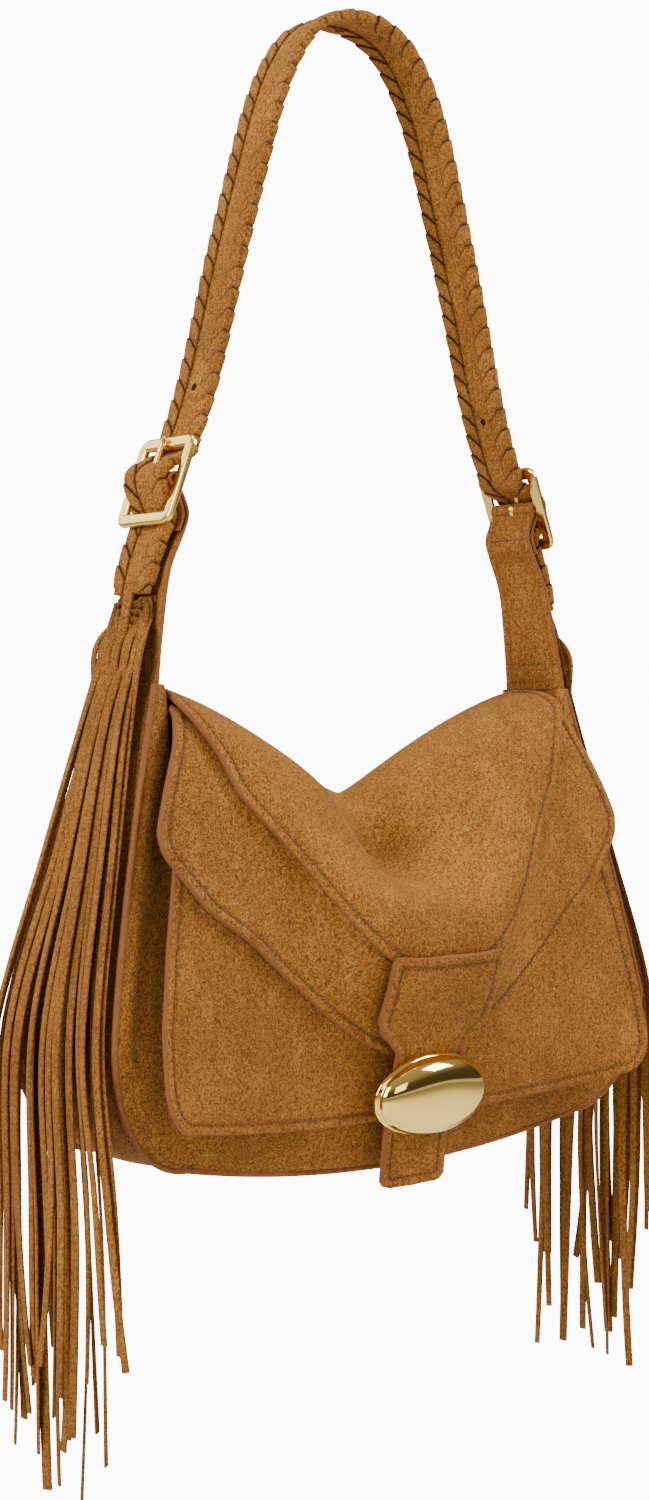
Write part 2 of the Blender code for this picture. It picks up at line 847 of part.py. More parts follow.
def build_prong(word, side, finish):
    """Bent prong that hooks round the centre bar and rests on the top bar."""
    points, faces = tube(prong_route(side), prong_radius, 6)
    return build_object(word + "_prong", points, faces, finish)


def tab_route():
    """Middle line of the right tab: up from the shoulder, round the bar and down inside."""
    inward = behind_bar - laced_half - tab_leather / 2 - 2.5 * touch_gap
    route = [
        Vector((tab_base_x, 0, bag_top + 1.2 * touch_gap)),
        Vector((tab_middle_x, 0, tab_middle_height)),
        Vector((tab_upper_x, 0, tab_upper_height)),
        on_frame(-bar_reach - 2 * mm, inward),
        on_frame(-bar_reach + 5 * mm, inward + 0.3 * mm),
        on_frame(-7.5 * mm, -4.6 * mm),
    ]
    for degrees in (-50, -5, 40, 85, 130, 175, 215):
        angle = math.radians(degrees)
        route.append(on_frame(loop_radius * math.sin(angle), loop_radius * math.cos(angle)))
    lining = tab_leather + 2 * touch_gap
    route.append(on_frame(-7.0 * mm, -7.8 * mm))
    route.append(on_frame(-bar_reach + 6 * mm, inward - lining))
    route.append(on_frame(-tab_turn_down, inward - lining - 0.2 * mm))
    return route


def build_tab(word, side, finish):
    """Tapered tab folded over the buckle's centre bar, slotted for the prong."""
    dense, _ = measured_route(tab_route(), 2)
    straight = (1, 3, len(dense) - 2, len(dense) - 4)
    dense = [point for index, point in enumerate(dense) if index not in straight]
    outer = []
    inner = []
    slit = []
    for index, point in enumerate(dense):
        before = dense[max(index - 1, 0)]
        after = dense[min(index + 1, len(dense) - 1)]
        along = (after - before).normalized()
        rise = Vector((-along.z, 0, along.x)) * (tab_leather / 2)
        taper = min(1.0, max(0.0, (point.z - bag_top) / (buckle_centre_height - bag_top)))
        half = blend(tab_base_half_depth, tab_top_half_depth, taper ** 0.8)
        for across in (-half, -prong_slot_half_width, prong_slot_half_width, half):
            for ring, lift in ((outer, rise), (inner, -rise)):
                spot = point + Vector((0, across, 0)) + lift
                ring.append(Vector((side * spot.x, spot.y, spot.z)))
        if (point - frame_centre).length < prong_slot_reach:
            slit += [(index - 1, 1), (index, 1)]
    return build_object(word + "_tab", outer + inner, sheet_faces(len(dense), 4, slit), finish)


# Fringe

def head_x(layer, height):
    """Middle of a fringe layer's head, which lies stacked on the tab's outer face."""
    rise = (height - tab_middle_height) / (tab_upper_height - tab_middle_height)
    stack = tab_leather / 2 + 1.5 * touch_gap + fringe_leather / 2 + layer * head_pitch
    return blend(tab_middle_x, tab_upper_x, rise) + stack


def strand_path(layer, number, chance):
    """Middle line of a strand: over the gusset's shoulder, then straight down to its tip."""
    share = (number + layer / layers_per_side) / (strands_per_layer - 1 / layers_per_side)
    end_depth = blend(-fringe_front, fringe_back, share) + chance.uniform(-1.5, 1.5) * mm
    shortfall = (0.0, 24, 52)[layer] * mm
    tip = longest_tip + shortfall + chance.uniform(0, 26) * mm
    edge_lift = 70 * mm * max(0.0, abs(2 * share - 1) - 0.7) / 0.3
    tip += edge_lift
    sway = chance.uniform(-3.0, 3.0) * mm
    out = layer * layer_pitch
    points = []
    heights = [fringe_root_height - fringe_head_height, 225 * mm, 160 * mm, fringe_rest_height,
               blend(fringe_rest_height, tip, 0.5), tip]
    root_x = head_x(layer, heights[0])
    for height in heights:
        fall = min(1.0, (fringe_root_height - height) / (fringe_root_height - 50 * mm))
        depth = end_depth * (0.20 + 0.80 * fall ** 1.3)
        slide = min(1.0, (fringe_root_height - height) / (fringe_root_height - fringe_rest_height))
        x = blend(root_x, fringe_rest_x + out, slide ** 0.88)
        if height < fringe_rest_height:
            below = (fringe_rest_height - height) / (fringe_rest_height - longest_tip)
            x -= 4 * mm * below
            depth += sway * below
        points.append(Vector((x, depth, height)))
    return points


def build_fringe(word, side, layer, finish):
    """One sheet of the fringe: a sewn head slit into strands that fan out and hang."""
    chance = random.Random(20 + layer + (0 if side > 0 else 10))
    head_half = strap_width / 2 - 1 * mm
    cell = 2 * head_half / strands_per_layer
    slit = 0.12 * cell
    half = fringe_leather / 2
    points = []
    faces = []
    top = fringe_root_height
    low = fringe_root_height - fringe_head_height
    top_x = head_x(layer, top)
    low_x = head_x(layer, low)
    edges = []
    for number in range(strands_per_layer):
        start = -head_half + number * cell
        edges += [start + slit / 2, start + cell - slit / 2]
    for depth in edges:
        for height, x in ((top, top_x + half), (low, low_x + half), (low, low_x - half), (top, top_x - half)):
            points.append(Vector((side * x, depth, height)))
    count = len(edges)
    for index in range(count - 1):
        near = 4 * index
        far = near + 4
        for first, second in ((0, 1), (2, 3), (3, 0)):
            faces.append((near + first, near + second, far + second, far + first))
        if index % 2 == 1:
            faces.append((near + 1, near + 2, far + 2, far + 1))
    faces.append((0, 3, 2, 1))
    last = 4 * (count - 1)
    faces.append((last, last + 1, last + 2, last + 3))
    for number in range(strands_per_layer):
        path = strand_path(layer, number, chance)
        ring = [8 * number + 1, 8 * number + 5, 8 * number + 6, 8 * number + 2]
        for step, point in enumerate(path[1:]):
            spread = min(1.0, 0.62 + 0.12 * step)
            wide = strand_width / 2 * spread
            if step == len(path) - 2:
                wide *= 0.72
            base = len(points)
            twist = 0.25 * math.sin(number * 1.7 + step * 0.9)
            for across, lift in ((-1, 1), (1, 1), (1, -1), (-1, -1)):
                points.append(Vector((side * (point.x + half * lift + wide * across * twist * 0.5),
                                      point.y + wide * across, point.z)))
            fresh = [base, base + 1, base + 2, base + 3]
            for corner in range(4):
                turn = (corner + 1) % 4
                faces.append((ring[corner], ring[turn], fresh[turn], fresh[corner]))
            ring = fresh
        faces.append(tuple(ring))
    return build_object(word + "_fringe_" + str(layer + 1), points, faces, finish)


def main():
    """Build every piece of the bag."""
    clear_scene()
    suede = material("tan_suede", (0.42, 0.20, 0.07), 0.9)
    trim = material("painted_edge", (0.30, 0.13, 0.055), 0.6)
    gold = material("polished_gold", (0.85, 0.64, 0.30), 0.18, 1.0)
    steel = material("magnet_steel", (0.60, 0.60, 0.60), 0.35, 1.0)

    build_front_panel(suede)
    build_back_panel(suede)
    build_gusset(suede)
    build_piping("front_piping", -1, trim)
    build_piping("back_piping", 1, trim)

    pivot = place(Vector((0, hinge_depth, hinge_height)))
    tip = station_at(0.0, 101 * mm)
    centre_outline = outline_by_station(
        [(126, 232), (103, 187), (84, 163), (62, 137), (40, 114), (22, 101)], 0.0, flap_top_half_width)
    flap_sheet("flap_centre", centre_outline, shared_rows(0.0, tip), 15, 0.0, suede, pivot, 1.15)
    wing_start = 3 * row_step
    wing_outline = outline_by_station(
        [(128, 229), (133, 216), (143.5, 192), (150, 174), (148.5, 164), (144, 158), (126, 137),
         (88, 104), (58, 82), (28, 64), (20, 60)], wing_start, flap_top_half_width)
    wing_rows = shared_rows(wing_start, wing_outline[-1][0])
    wing_rows += [pair[0] for pair in wing_outline if pair[1] > 142 * mm]
    for side, word in ((-1, "left"), (1, "right")):
        build_wing(word + "_wing", side, wing_outline, centre_outline, sorted(set(wing_rows)),
                   suede, pivot)
    lower_start = 8 * row_step
    corner_drop = station_at(150 * mm, 60 * mm)
    lower_outline = outline_by_station([(141, 156), (149, 119), (154, 85), (155, 63)], lower_start, 136 * mm)
    for degrees in (30, 60, 90):
        turn = math.radians(degrees)
        station = blend(corner_drop, lower_edge_station, math.sin(turn))
        lower_outline.append((station, lower_flap_half_width - lower_flap_corner * (1 - math.cos(turn))))
    lower_rows = shared_rows(lower_start, corner_drop)
    lower_rows += [pair[0] for pair in lower_outline[-3:]]
    flap_sheet("flap_lower", lower_outline, lower_rows, 12, lower_lift, suede, pivot)
    build_closure_tab(suede, pivot)
    build_clasp_dome(gold, pivot)

    middle, reach = resting_height(lower_flap_back, magnet_radius, magnet_radius, -1)
    build_disc("clasp_magnet", middle - clasp_facing * (reach + touch_gap), clasp_facing, steel, pivot)
    sink = (bag_top - mouth_height(0.0)) / (bag_top - bottom_corner_height)
    seam_height = (clasp_height - sink * bottom_corner_height) / (1 - sink)
    panel_back = -body_half_depth(seam_height) - touch_gap - front_bulge
    plate_centre = Vector((0, panel_back + 5 * touch_gap, clasp_height))
    build_disc("clasp_plate", plate_centre, Vector((0, -1, 0)), steel)

    build_strap(suede)
    build_lacing("front_lacing", -1, suede)
    build_lacing("back_lacing", 1, suede)
    for side, word in ((-1, "left"), (1, "right")):
        build_buckle(word, side, gold)
        build_prong(word, side, gold)
        build_tab(word, side, suede)
        for layer in range(layers_per_side):
            build_fringe(word, side, layer, suede)


main()
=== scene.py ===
import math
import random

import bmesh
import bpy
import numpy as np
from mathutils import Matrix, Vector


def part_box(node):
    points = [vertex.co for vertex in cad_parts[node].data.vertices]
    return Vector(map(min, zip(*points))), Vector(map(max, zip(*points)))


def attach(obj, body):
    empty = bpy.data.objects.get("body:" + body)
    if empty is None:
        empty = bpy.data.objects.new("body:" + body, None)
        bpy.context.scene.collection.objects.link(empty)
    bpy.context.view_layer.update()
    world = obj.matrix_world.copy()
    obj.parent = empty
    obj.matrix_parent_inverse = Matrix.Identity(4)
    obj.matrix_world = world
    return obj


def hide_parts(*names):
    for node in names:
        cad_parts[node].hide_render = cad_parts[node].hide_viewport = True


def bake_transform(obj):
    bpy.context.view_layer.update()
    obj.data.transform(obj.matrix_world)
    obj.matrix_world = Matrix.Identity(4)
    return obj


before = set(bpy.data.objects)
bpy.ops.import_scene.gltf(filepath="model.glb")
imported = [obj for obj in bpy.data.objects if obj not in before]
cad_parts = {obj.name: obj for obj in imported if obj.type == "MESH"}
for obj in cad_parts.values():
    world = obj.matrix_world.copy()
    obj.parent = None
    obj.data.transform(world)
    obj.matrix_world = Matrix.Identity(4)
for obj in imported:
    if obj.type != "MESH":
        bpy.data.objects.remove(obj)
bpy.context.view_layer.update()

mm = 0.001

# Leather and thread
touch_gap = 0.3 * mm
body_leather = 2.2 * mm
flap_leather = 2.9 * mm
tab_leather = 1.8 * mm
strap_thickness = 2.6 * mm
fringe_leather = 1.5 * mm
stitch_inset = 4.6 * mm
stitch_pitch = 2.9 * mm
stitch_length = 2.1 * mm
thread_radius = 0.36 * mm
rim_puff = 0.32 * mm
seam_sink = 0.35 * mm

# Body of the bag, heights from its bottom
bag_top = 240 * mm
top_half_width = 135 * mm
widest_half_width = 172 * mm
widest_height = 76 * mm
bottom_half_width = 128 * mm
bottom_corner_height = 17 * mm
bottom_sag = 13 * mm
top_half_depth = 19.5 * mm
belly_half_depth = 40.5 * mm
bottom_half_depth = 31 * mm
front_bulge = 0.5 * mm
back_bulge = 4 * mm
back_shoulder_drop = 22 * mm
crest_depth = 6 * mm
crest_gap = 1.4 * mm
mouth_drop = 50 * mm
piping_radius = 1.7 * mm
piping_offset = 1.0 * mm
gusset_swell = 2 * mm

# Sagging flap and its layers
top_sag_reach = 125 * mm
sag_rounding = 8 * mm
nose_half_width = 70 * mm
flare_half_width = 150 * mm
flap_top_half_width = 126 * mm
layer_step = 4.3 * mm
wing_lift = -layer_step
lower_lift = -2 * layer_step
wing_tuck = 16 * mm
wing_parting = 1 * mm
lower_flap_half_width = 155 * mm
lower_flap_corner = 14 * mm
lap_recess = 3.6 * mm

# Closure and clasp
closure_top_height = 110 * mm
closure_plate_half_width = 35.5 * mm
closure_neck_half_width = 22 * mm
closure_neck_height = 67 * mm
closure_tail_half_width = 20.5 * mm
closure_tail_lift = -2 * mm
closure_leather = 2.6 * mm
closure_gap = 1 * mm
clasp_half_length = 36 * mm
clasp_half_height = 20.5 * mm
clasp_dome_height = 14 * mm
clasp_rim = 3 * mm
clasp_tilt = math.radians(9.5)
clasp_height = 42 * mm

# Strap, buckles and tabs
strap_width = 28 * mm
crown_height = 577 * mm
lace_pitch = 10.5 * mm
lace_reach = 8.4 * mm
lace_thickness = 1.15 * mm
lace_slant = 3.6 * mm
lace_gap = 0.3 * mm
buckle_centre_x = 119.5 * mm
buckle_centre_height = 337 * mm
buckle_lean = math.radians(21)
buckle_width = 40 * mm
buckle_height = 42 * mm
bar_width = 4.2 * mm
bar_broad = 6.4 * mm
bar_depth = 3.2 * mm
centre_bar_radius = 1.6 * mm
prong_radius = 1.3 * mm
spare_hole_radius = 1.6 * mm
spare_hole_height = 383 * mm
tab_base_half_depth = 21.5 * mm
tab_top_half_depth = 15 * mm
tab_base_x = 134.6 * mm
tab_middle = (131 * mm, 263 * mm)
tab_upper = (125 * mm, 293 * mm)
tab_turn_down = 22 * mm

# Fringe
strands_per_layer = 10
layers_per_side = 3
layer_pitch = 3.2 * mm
strand_width = 5.9 * mm
fringe_front = 45 * mm
fringe_back = 55 * mm
fringe_root_height = 282 * mm
head_pitch = 1.8 * mm
fringe_head_height = 8 * mm
tongue_spread = 1.35
tongue_half_width = 3.2 * mm
tongue_length = 21 * mm
fringe_rest_height = 80 * mm
fringe_shoulder_height = 258 * mm
fringe_rest_x = 178 * mm
longest_tip = -138 * mm
layer_shortfall = (0.0, 18 * mm, 40 * mm)

hang_height = crown_height - strap_thickness / 2
sideways = np.array([1.0, 0.0, 0.0])
backward = np.array([0.0, 1.0, 0.0])
sides_and_words = ((-1, "left"), (1, "right"))
backdrop_strength = 11.0

# Sampling
far_from_edge = 20 * mm
x_step = 1 * mm
station_step = 0.02


# Shader building

class Wire:
    """A shader socket that adds, subtracts and multiplies through Math nodes."""

    def __init__(self, paint, socket):
        self.paint = paint
        self.socket = socket

    def maths(self, operation, *values):
        return self.paint.node("ShaderNodeMath", {"operation": operation}, dict(enumerate(values)))

    def __add__(self, other):
        return self.maths("ADD", self, other)

    def __mul__(self, other):
        return self.maths("MULTIPLY", self, other)

    def __sub__(self, other):
        return self.maths("SUBTRACT", self, other)

    def __rsub__(self, other):
        return self.maths("SUBTRACT", other, self)

    __radd__ = __add__
    __rmul__ = __mul__

    def ramp(self, low, high):
        """Nought below `low`, one above `high`, smooth between."""
        return self.paint.node("ShaderNodeMapRange", {"interpolation_type": "SMOOTHSTEP"},
                               {"Value": self, "From Min": low, "From Max": high})


class Paint:
    """One procedural finish: a Principled surface and the nodes that feed it."""

    def __init__(self, name):
        self.material = bpy.data.materials.new(name)
        self.material.use_nodes = True
        self.tree = self.material.node_tree
        self.surface = self.tree.nodes["Principled BSDF"]

    def node(self, kind, settings, values, output=0):
        """A node of a type with its settings, then the values or links of its sockets."""
        made = self.tree.nodes.new(kind)
        for key, value in settings.items():
            setattr(made, key, value)
        for key, value in values.items():
            self.join(made.inputs[key], value)
        return Wire(self, made.outputs[output])

    def join(self, socket, value):
        """Link a wire to a socket, or set the socket to a plain value."""
        if isinstance(value, Wire):
            self.tree.links.new(value.socket, socket)
        else:
            socket.default_value = value

    def place(self, stretch=(1.0, 1.0, 1.0), turn=(0.0, 0.0, 0.0)):
        """Object coordinates, stretched and turned."""
        seat = self.node("ShaderNodeTexCoord", {}, {}, "Object")
        return self.node("ShaderNodeMapping", {}, {"Vector": seat, "Scale": stretch, "Rotation": turn})

    def noise(self, seat, scale, detail=2.0, roughness=0.5):
        """Fractal noise about one half."""
        return self.node("ShaderNodeTexNoise", {}, {"Vector": seat, "Scale": scale, "Detail": detail,
                                                    "Roughness": roughness})

    def mix(self, share, first, second):
        """Colour between two colours."""
        made = self.tree.nodes.new("ShaderNodeMix")
        made.data_type = "RGBA"
        self.join(made.inputs["Factor"], share)
        for slot_index, value in ((6, first), (7, second)):
            self.join(made.inputs[slot_index], value if isinstance(value, Wire) else (*value, 1.0))
        return Wire(self, made.outputs[2])

    def measure(self, name):
        """A number that the mesh carries at each of its points."""
        return self.node("ShaderNodeAttribute", {"attribute_name": name}, {}, "Fac")

    def bump(self, height, strength, distance):
        """Normal from a height."""
        return self.node("ShaderNodeBump", {}, {"Height": height, "Strength": strength, "Distance": distance})

    def finish(self, **values):
        """Set the Principled sockets, spaces written as underscores."""
        for key, value in values.items():
            socket = self.surface.inputs[key.replace("_", " ")]
            if isinstance(value, tuple):
                value = (*value, 1.0)[:4]
            self.join(socket, value)
        return self.material


def suede(name, deep, body, lit, edge):
    """Brushed suede: fine dark-flecked nap, soft brushed patches and a painted cut edge, with painted shade along
    the stitch groove and, where the mesh carries it, painted shade in creases (mixed with random darker tone on the
    fringe).
    """
    paint = Paint(name)
    seat = paint.place()
    brushed = paint.place((1.0, 1.0, 0.55), (0.3, 0.5, 0.2))
    cloud = paint.noise(seat, 14.0, 4.0, 0.6)
    stroke = paint.noise(brushed, 70.0, 3.0, 0.6)
    nap = paint.noise(seat, 640.0, 2.0, 0.7)
    fleck = paint.noise(seat, 1500.0, 1.0, 0.5)
    colour = paint.mix(cloud.ramp(0.38, 0.64) * 0.75 + 0.25, tuple(0.55 * part for part in body), body)
    colour = paint.mix(stroke.ramp(0.48, 0.74) * 0.42, colour, lit)
    colour = paint.mix((1.0 - nap.ramp(0.40, 0.55)) * 0.85, colour, deep)
    colour = paint.mix(fleck.ramp(0.52, 0.62) * 0.50, colour, lit)
    colour = paint.mix((1.0 - fleck.ramp(0.36, 0.47)) * 0.62, colour, deep)
    away = paint.measure("edge_mm")
    # Painted shade in the stitch groove: up to three tenths darker within about 1.6 mm of the seam line
    sunk = (away - stitch_inset / mm) * (away - stitch_inset / mm)
    colour = paint.mix((1.0 - sunk.ramp(0.0, 2.6)) * 0.30, colour, deep)
    cut = 1.0 - away.ramp(0.25, 0.8)
    colour = paint.mix(cut * 0.9, colour, edge)
    # Painted shade: darkens towards a deep brown by the mesh's shade attribute, in creases, under overlapping leaves
    # and at the fringe's roots; on the fringe it also carries random darker tone per strand
    colour = paint.mix(paint.measure("tone_and_painted_shade"), colour, tuple(0.22 * part for part in deep))
    height = nap * 0.55 + fleck * 0.45 + stroke * 0.5
    return paint.finish(Base_Color=colour, Roughness=0.94 - cut * 0.36 + (nap - 0.5) * 0.08,
                        Normal=paint.bump(height, 0.6, 0.4 * mm),
                        Sheen_Weight=0.10, Sheen_Roughness=0.4, Sheen_Tint=(1.0, 0.62, 0.30, 1.0),
                        Specular_IOR_Level=0.14)


def thread_finish():
    """Twisted waxed thread, darker than the leather."""
    paint = Paint("waxed_thread")
    twist = paint.noise(paint.place(), 2400.0, 1.0)
    colour = paint.mix(twist.ramp(0.35, 0.65), (0.05, 0.018, 0.004), (0.15, 0.06, 0.014))
    return paint.finish(Base_Color=colour, Roughness=0.62, Normal=paint.bump(twist, 0.4, 0.1 * mm))


def gold_finish(name, gloss):
    """Pale gold plating with faint wiped hairlines; `gloss` is its least roughness."""
    paint = Paint(name)
    wiped = paint.noise(paint.place((1.0, 1.0, 9.0)), 160.0, 4.0, 0.7)
    cloud = paint.noise(paint.place(), 45.0, 2.0)
    colour = paint.mix(cloud.ramp(0.3, 0.7) * 0.4, (1.0, 0.66, 0.16), (0.97, 0.57, 0.11))
    return paint.finish(Base_Color=colour, Metallic=1.0, Roughness=gloss + wiped * 0.06,
                        Normal=paint.bump(wiped, 0.02, 0.05 * mm))


def steel_finish():
    """Plain turned steel with fine rings of wear."""
    paint = Paint("magnet_steel")
    wear = paint.noise(paint.place(), 500.0, 4.0, 0.7)
    colour = paint.mix(wear, (0.42, 0.42, 0.43), (0.66, 0.65, 0.63))
    return paint.finish(Base_Color=colour, Metallic=1.0, Roughness=0.28 + wear * 0.2)


def hole_shadow_finish():
    """Painted shadow for the dark inside of a punched hole: near-black with a faint fuzz."""
    paint = Paint("painted_hole_shadow")
    fuzz = paint.noise(paint.place(), 1500.0)
    colour = paint.mix(fuzz, (0.012, 0.006, 0.003), (0.05, 0.022, 0.008))
    return paint.finish(Base_Color=colour, Roughness=0.95, Specular_IOR_Level=0.0)


def floor_finish():
    """Pale matt studio paper, as bright to the eye as the backdrop behind it."""
    paint = Paint("pale_paper")
    fibre = paint.noise(paint.place(), 300.0, 3.0)
    paint.finish(Base_Color=paint.mix(fibre, (0.86, 0.86, 0.86), (0.90, 0.90, 0.90)), Roughness=0.95)
    seen = paint.node("ShaderNodeLightPath", {}, {}, "Is Camera Ray")
    glow = paint.node("ShaderNodeEmission", {}, {"Strength": backdrop_strength})
    both = paint.node("ShaderNodeMixShader", {}, {0: seen, 1: Wire(paint, paint.surface.outputs[0]), 2: glow})
    paint.join(paint.tree.nodes["Material Output"].inputs["Surface"], both)
    return paint.material


tan = suede("tan_suede", (0.115, 0.035, 0.004), (0.34, 0.128, 0.019), (0.52, 0.235, 0.052), (0.205, 0.070, 0.022))
thread = thread_finish()
gold = gold_finish("polished_gold", 0.045)
buckle_gold = gold_finish("buckle_gold", 0.19)
steel = steel_finish()
hole_shadow_paint = hole_shadow_finish()


# Mesh building

def unit(vectors):
    """Each vector divided by its own length."""
    return vectors / np.maximum(np.linalg.norm(vectors, axis=-1, keepdims=True), 1e-12)


def xyz(x, y, z):
    """Points from three coordinates that are stretched to one shape."""
    return np.stack(np.broadcast_arrays(x, y, z), -1)


def grid_faces(rows, columns, start=0, round_rows=False, round_columns=False, turned=False):
    """Quads of a grid of points numbered row by row, joined round where asked."""
    row = np.arange(rows if round_rows else rows - 1)[:, None]
    column = np.arange(columns if round_columns else columns - 1)[None, :]
    below = (row + 1) % rows
    beside = (column + 1) % columns
    quads = np.stack(np.broadcast_arrays(row * columns + column, row * columns + beside,
                                         below * columns + beside, below * columns + column), -1)
    quads = quads.reshape(-1, 4) + start
    return quads[:, ::-1] if turned else quads


def piece(name, points, faces, finish, edge=None, sharp=None, tone_and_painted_shade=None):
    """A named mesh from whole arrays, lifted into the frame, with its faces turned outwards."""
    place = np.asarray(points, float).reshape(-1, 3) - (0.0, 0.0, hang_height)
    mesh = bpy.data.meshes.new(name)
    mesh.from_pydata(place.tolist(), [], [list(map(int, face)) for face in faces])
    work = bmesh.new()
    work.from_mesh(mesh)
    bmesh.ops.recalc_face_normals(work, faces=work.faces)
    work.to_mesh(mesh)
    work.free()
    mesh.shade_smooth()
    if sharp is not None:
        mesh.set_sharp_from_angle(angle=math.radians(sharp))
    reach = (np.full(len(place), far_from_edge) if edge is None else np.asarray(edge, float).reshape(-1)) / mm
    # Second attribute: painted shade in creases and under overlaps, and on the fringe random darker tone too
    shade = np.zeros(len(place)) if tone_and_painted_shade is None else np.asarray(tone_and_painted_shade, float).reshape(-1)
    for label, values in (("edge_mm", reach), ("tone_and_painted_shade", shade)):
        carried = mesh.attributes.new(label, "FLOAT", "POINT")
        carried.data.foreach_set("value", values.astype(np.float32))
    mesh.materials.append(finish)
    made = bpy.data.objects.new(name, mesh)
    bpy.context.scene.collection.objects.link(made)
    return made


def border(rows, columns):
    """Indices of a grid's outermost points, once round, and of the points just inside them."""
    index = np.arange(rows * columns).reshape(rows, columns)
    loop = np.concatenate([index[0], index[1:, -1], index[-1, -2::-1], index[-2:0:-1, 0]])
    row = np.clip(loop // columns, 1, rows - 2)
    column = np.clip(loop % columns, 1, columns - 2)
    return loop, row * columns + column


def nearness(points, loop, limit=24 * mm):
    """Distance from each point to a closed line through the loop's points, at most `limit`."""
    beside = np.roll(loop, -1, axis=0)
    parts = np.clip((np.linalg.norm(beside - loop, axis=-1) / (0.7 * mm)).astype(int), 1, 12)
    start = np.repeat(np.arange(len(loop)), parts)
    share = (np.arange(len(start)) - np.repeat(np.cumsum(parts) - parts, parts)) / parts[start]
    loop = loop[start] + (beside - loop)[start] * share[:, None]
    flat = points.reshape(-1, 3).astype(np.float32)
    found = np.full(len(flat), limit, np.float32)
    for chunk in np.array_split(np.arange(len(flat)), max(1, len(flat) // 2000)):
        gaps = flat[chunk][:, None] - loop[None].astype(np.float32)
        found[chunk] = np.minimum(found[chunk], np.sqrt((gaps ** 2).sum(-1)).min(1))
    return found.reshape(points.shape[:-1])


def slab(name, outer, inner, finish, cut_edge=True, edge=None):
    """A thick sheet: two grids of points joined by a rim whose section is half an ellipse.

    A rim point is middle + half * cos(a) + outward * |half| * 0.62 * sin(a), a from 0 to 180 degrees.
    """
    rows, columns = outer.shape[:2]
    loop, inside = border(rows, columns)
    top = outer.reshape(-1, 3)
    low = inner.reshape(-1, 3)
    middle = (top[loop] + low[loop]) / 2
    half = (top[loop] - low[loop]) / 2
    away = unit((top[loop] + low[loop] - top[inside] - low[inside]) / 2)
    turns = np.radians([22, 45, 68, 90, 112, 135, 158])
    reach = np.linalg.norm(half, axis=-1, keepdims=True) * 0.62
    rings = np.stack([middle + half * math.cos(a) + away * reach * math.sin(a) for a in turns])
    count = len(loop)
    base = 2 * rows * columns
    strips = np.vstack([loop, base + np.arange(len(turns) * count).reshape(len(turns), count),
                        rows * columns + loop])
    after = np.roll(strips, -1, axis=1)
    rim = np.stack([strips[:-1], after[:-1], after[1:], strips[1:]], -1).reshape(-1, 4)
    faces = np.vstack([grid_faces(rows, columns), grid_faces(rows, columns, rows * columns, turned=True),
                       rim[:, ::-1]])
    if edge is None:
        edge = nearness(outer, top[loop])
    if not cut_edge:
        edge = np.full(outer.shape[:2], far_from_edge)
    rim_edge = np.full(rings.shape[:2], 0.0 if cut_edge else far_from_edge)
    reach_all = np.concatenate([edge.ravel(), edge.ravel(), rim_edge.ravel()])
    return piece(name, np.concatenate([top, low, rings.reshape(-1, 3)]), faces, finish, reach_all)


def puff(edge):
    """Lift of a turned edge: a bulge between the rim and the seam line, and a groove at the line."""
    swell = np.where(edge < stitch_inset, np.sin(np.pi * np.clip(edge / stitch_inset, 0, 1)), 0.0)
    groove = np.exp(-((edge - stitch_inset) / (1.2 * mm)) ** 2)
    return rim_puff * swell - seam_sink * groove


def grid_normals(points):
    """Cross product of the grid's own directions at each point."""
    down = np.gradient(points, axis=0)
    across = np.gradient(points, axis=1)
    return unit(np.cross(down, across))


def swept(centres, sides, rises, ring):
    """Points of a section carried along a path: centre + side * a + rise * b for each (a, b)."""
    return centres[:, None] + sides[:, None] * ring[..., 0:1] + rises[:, None] * ring[..., 1:2]


def tube_faces(rows, around, start=0, closed=False):
    """Quads between rings and, unless the tube closes on itself, a cap on each end."""
    faces = grid_faces(rows, around, start, closed, True).tolist()
    if not closed:
        faces.append(list(range(start, start + around)))
        faces.append(list(range(start + (rows - 1) * around, start + rows * around)))
    return faces


def full_turn(count):
    """Angles once round a circle."""
    return np.linspace(0, 2 * math.pi, count, endpoint=False)


def ring_path(half_across, half_along, corner, steps):
    """A rectangle with quarter circles for corners, and its outward directions."""
    points = []
    away = []
    for turn, (sx, sy) in enumerate(((1, 1), (-1, 1), (-1, -1), (1, -1))):
        for step in range(steps + 1):
            angle = math.pi / 2 * (turn + step / steps)
            way = (math.cos(angle), math.sin(angle))
            points.append((sx * (half_across - corner) + corner * way[0],
                           sy * (half_along - corner) + corner * way[1]))
            away.append(way)
    return np.array(points), np.array(away)


def rounded_bar(width, height, corner, steps):
    """Section of a bar: a rectangle with quarter circles for corners."""
    return ring_path(width / 2, height / 2, corner, steps)[0]


def resample(path, pitch):
    """Points every `pitch` along a path, and the direction at each."""
    run = np.concatenate([[0], np.cumsum(np.linalg.norm(np.diff(path, axis=0), axis=1))])
    marks = np.arange(pitch / 2, run[-1], pitch)
    spots = np.stack([np.interp(marks, run, path[:, axis]) for axis in range(3)], -1)
    along = unit(np.stack([np.interp(marks, run, np.gradient(path[:, axis], run)) for axis in range(3)], -1))
    return spots, along, marks / run[-1]


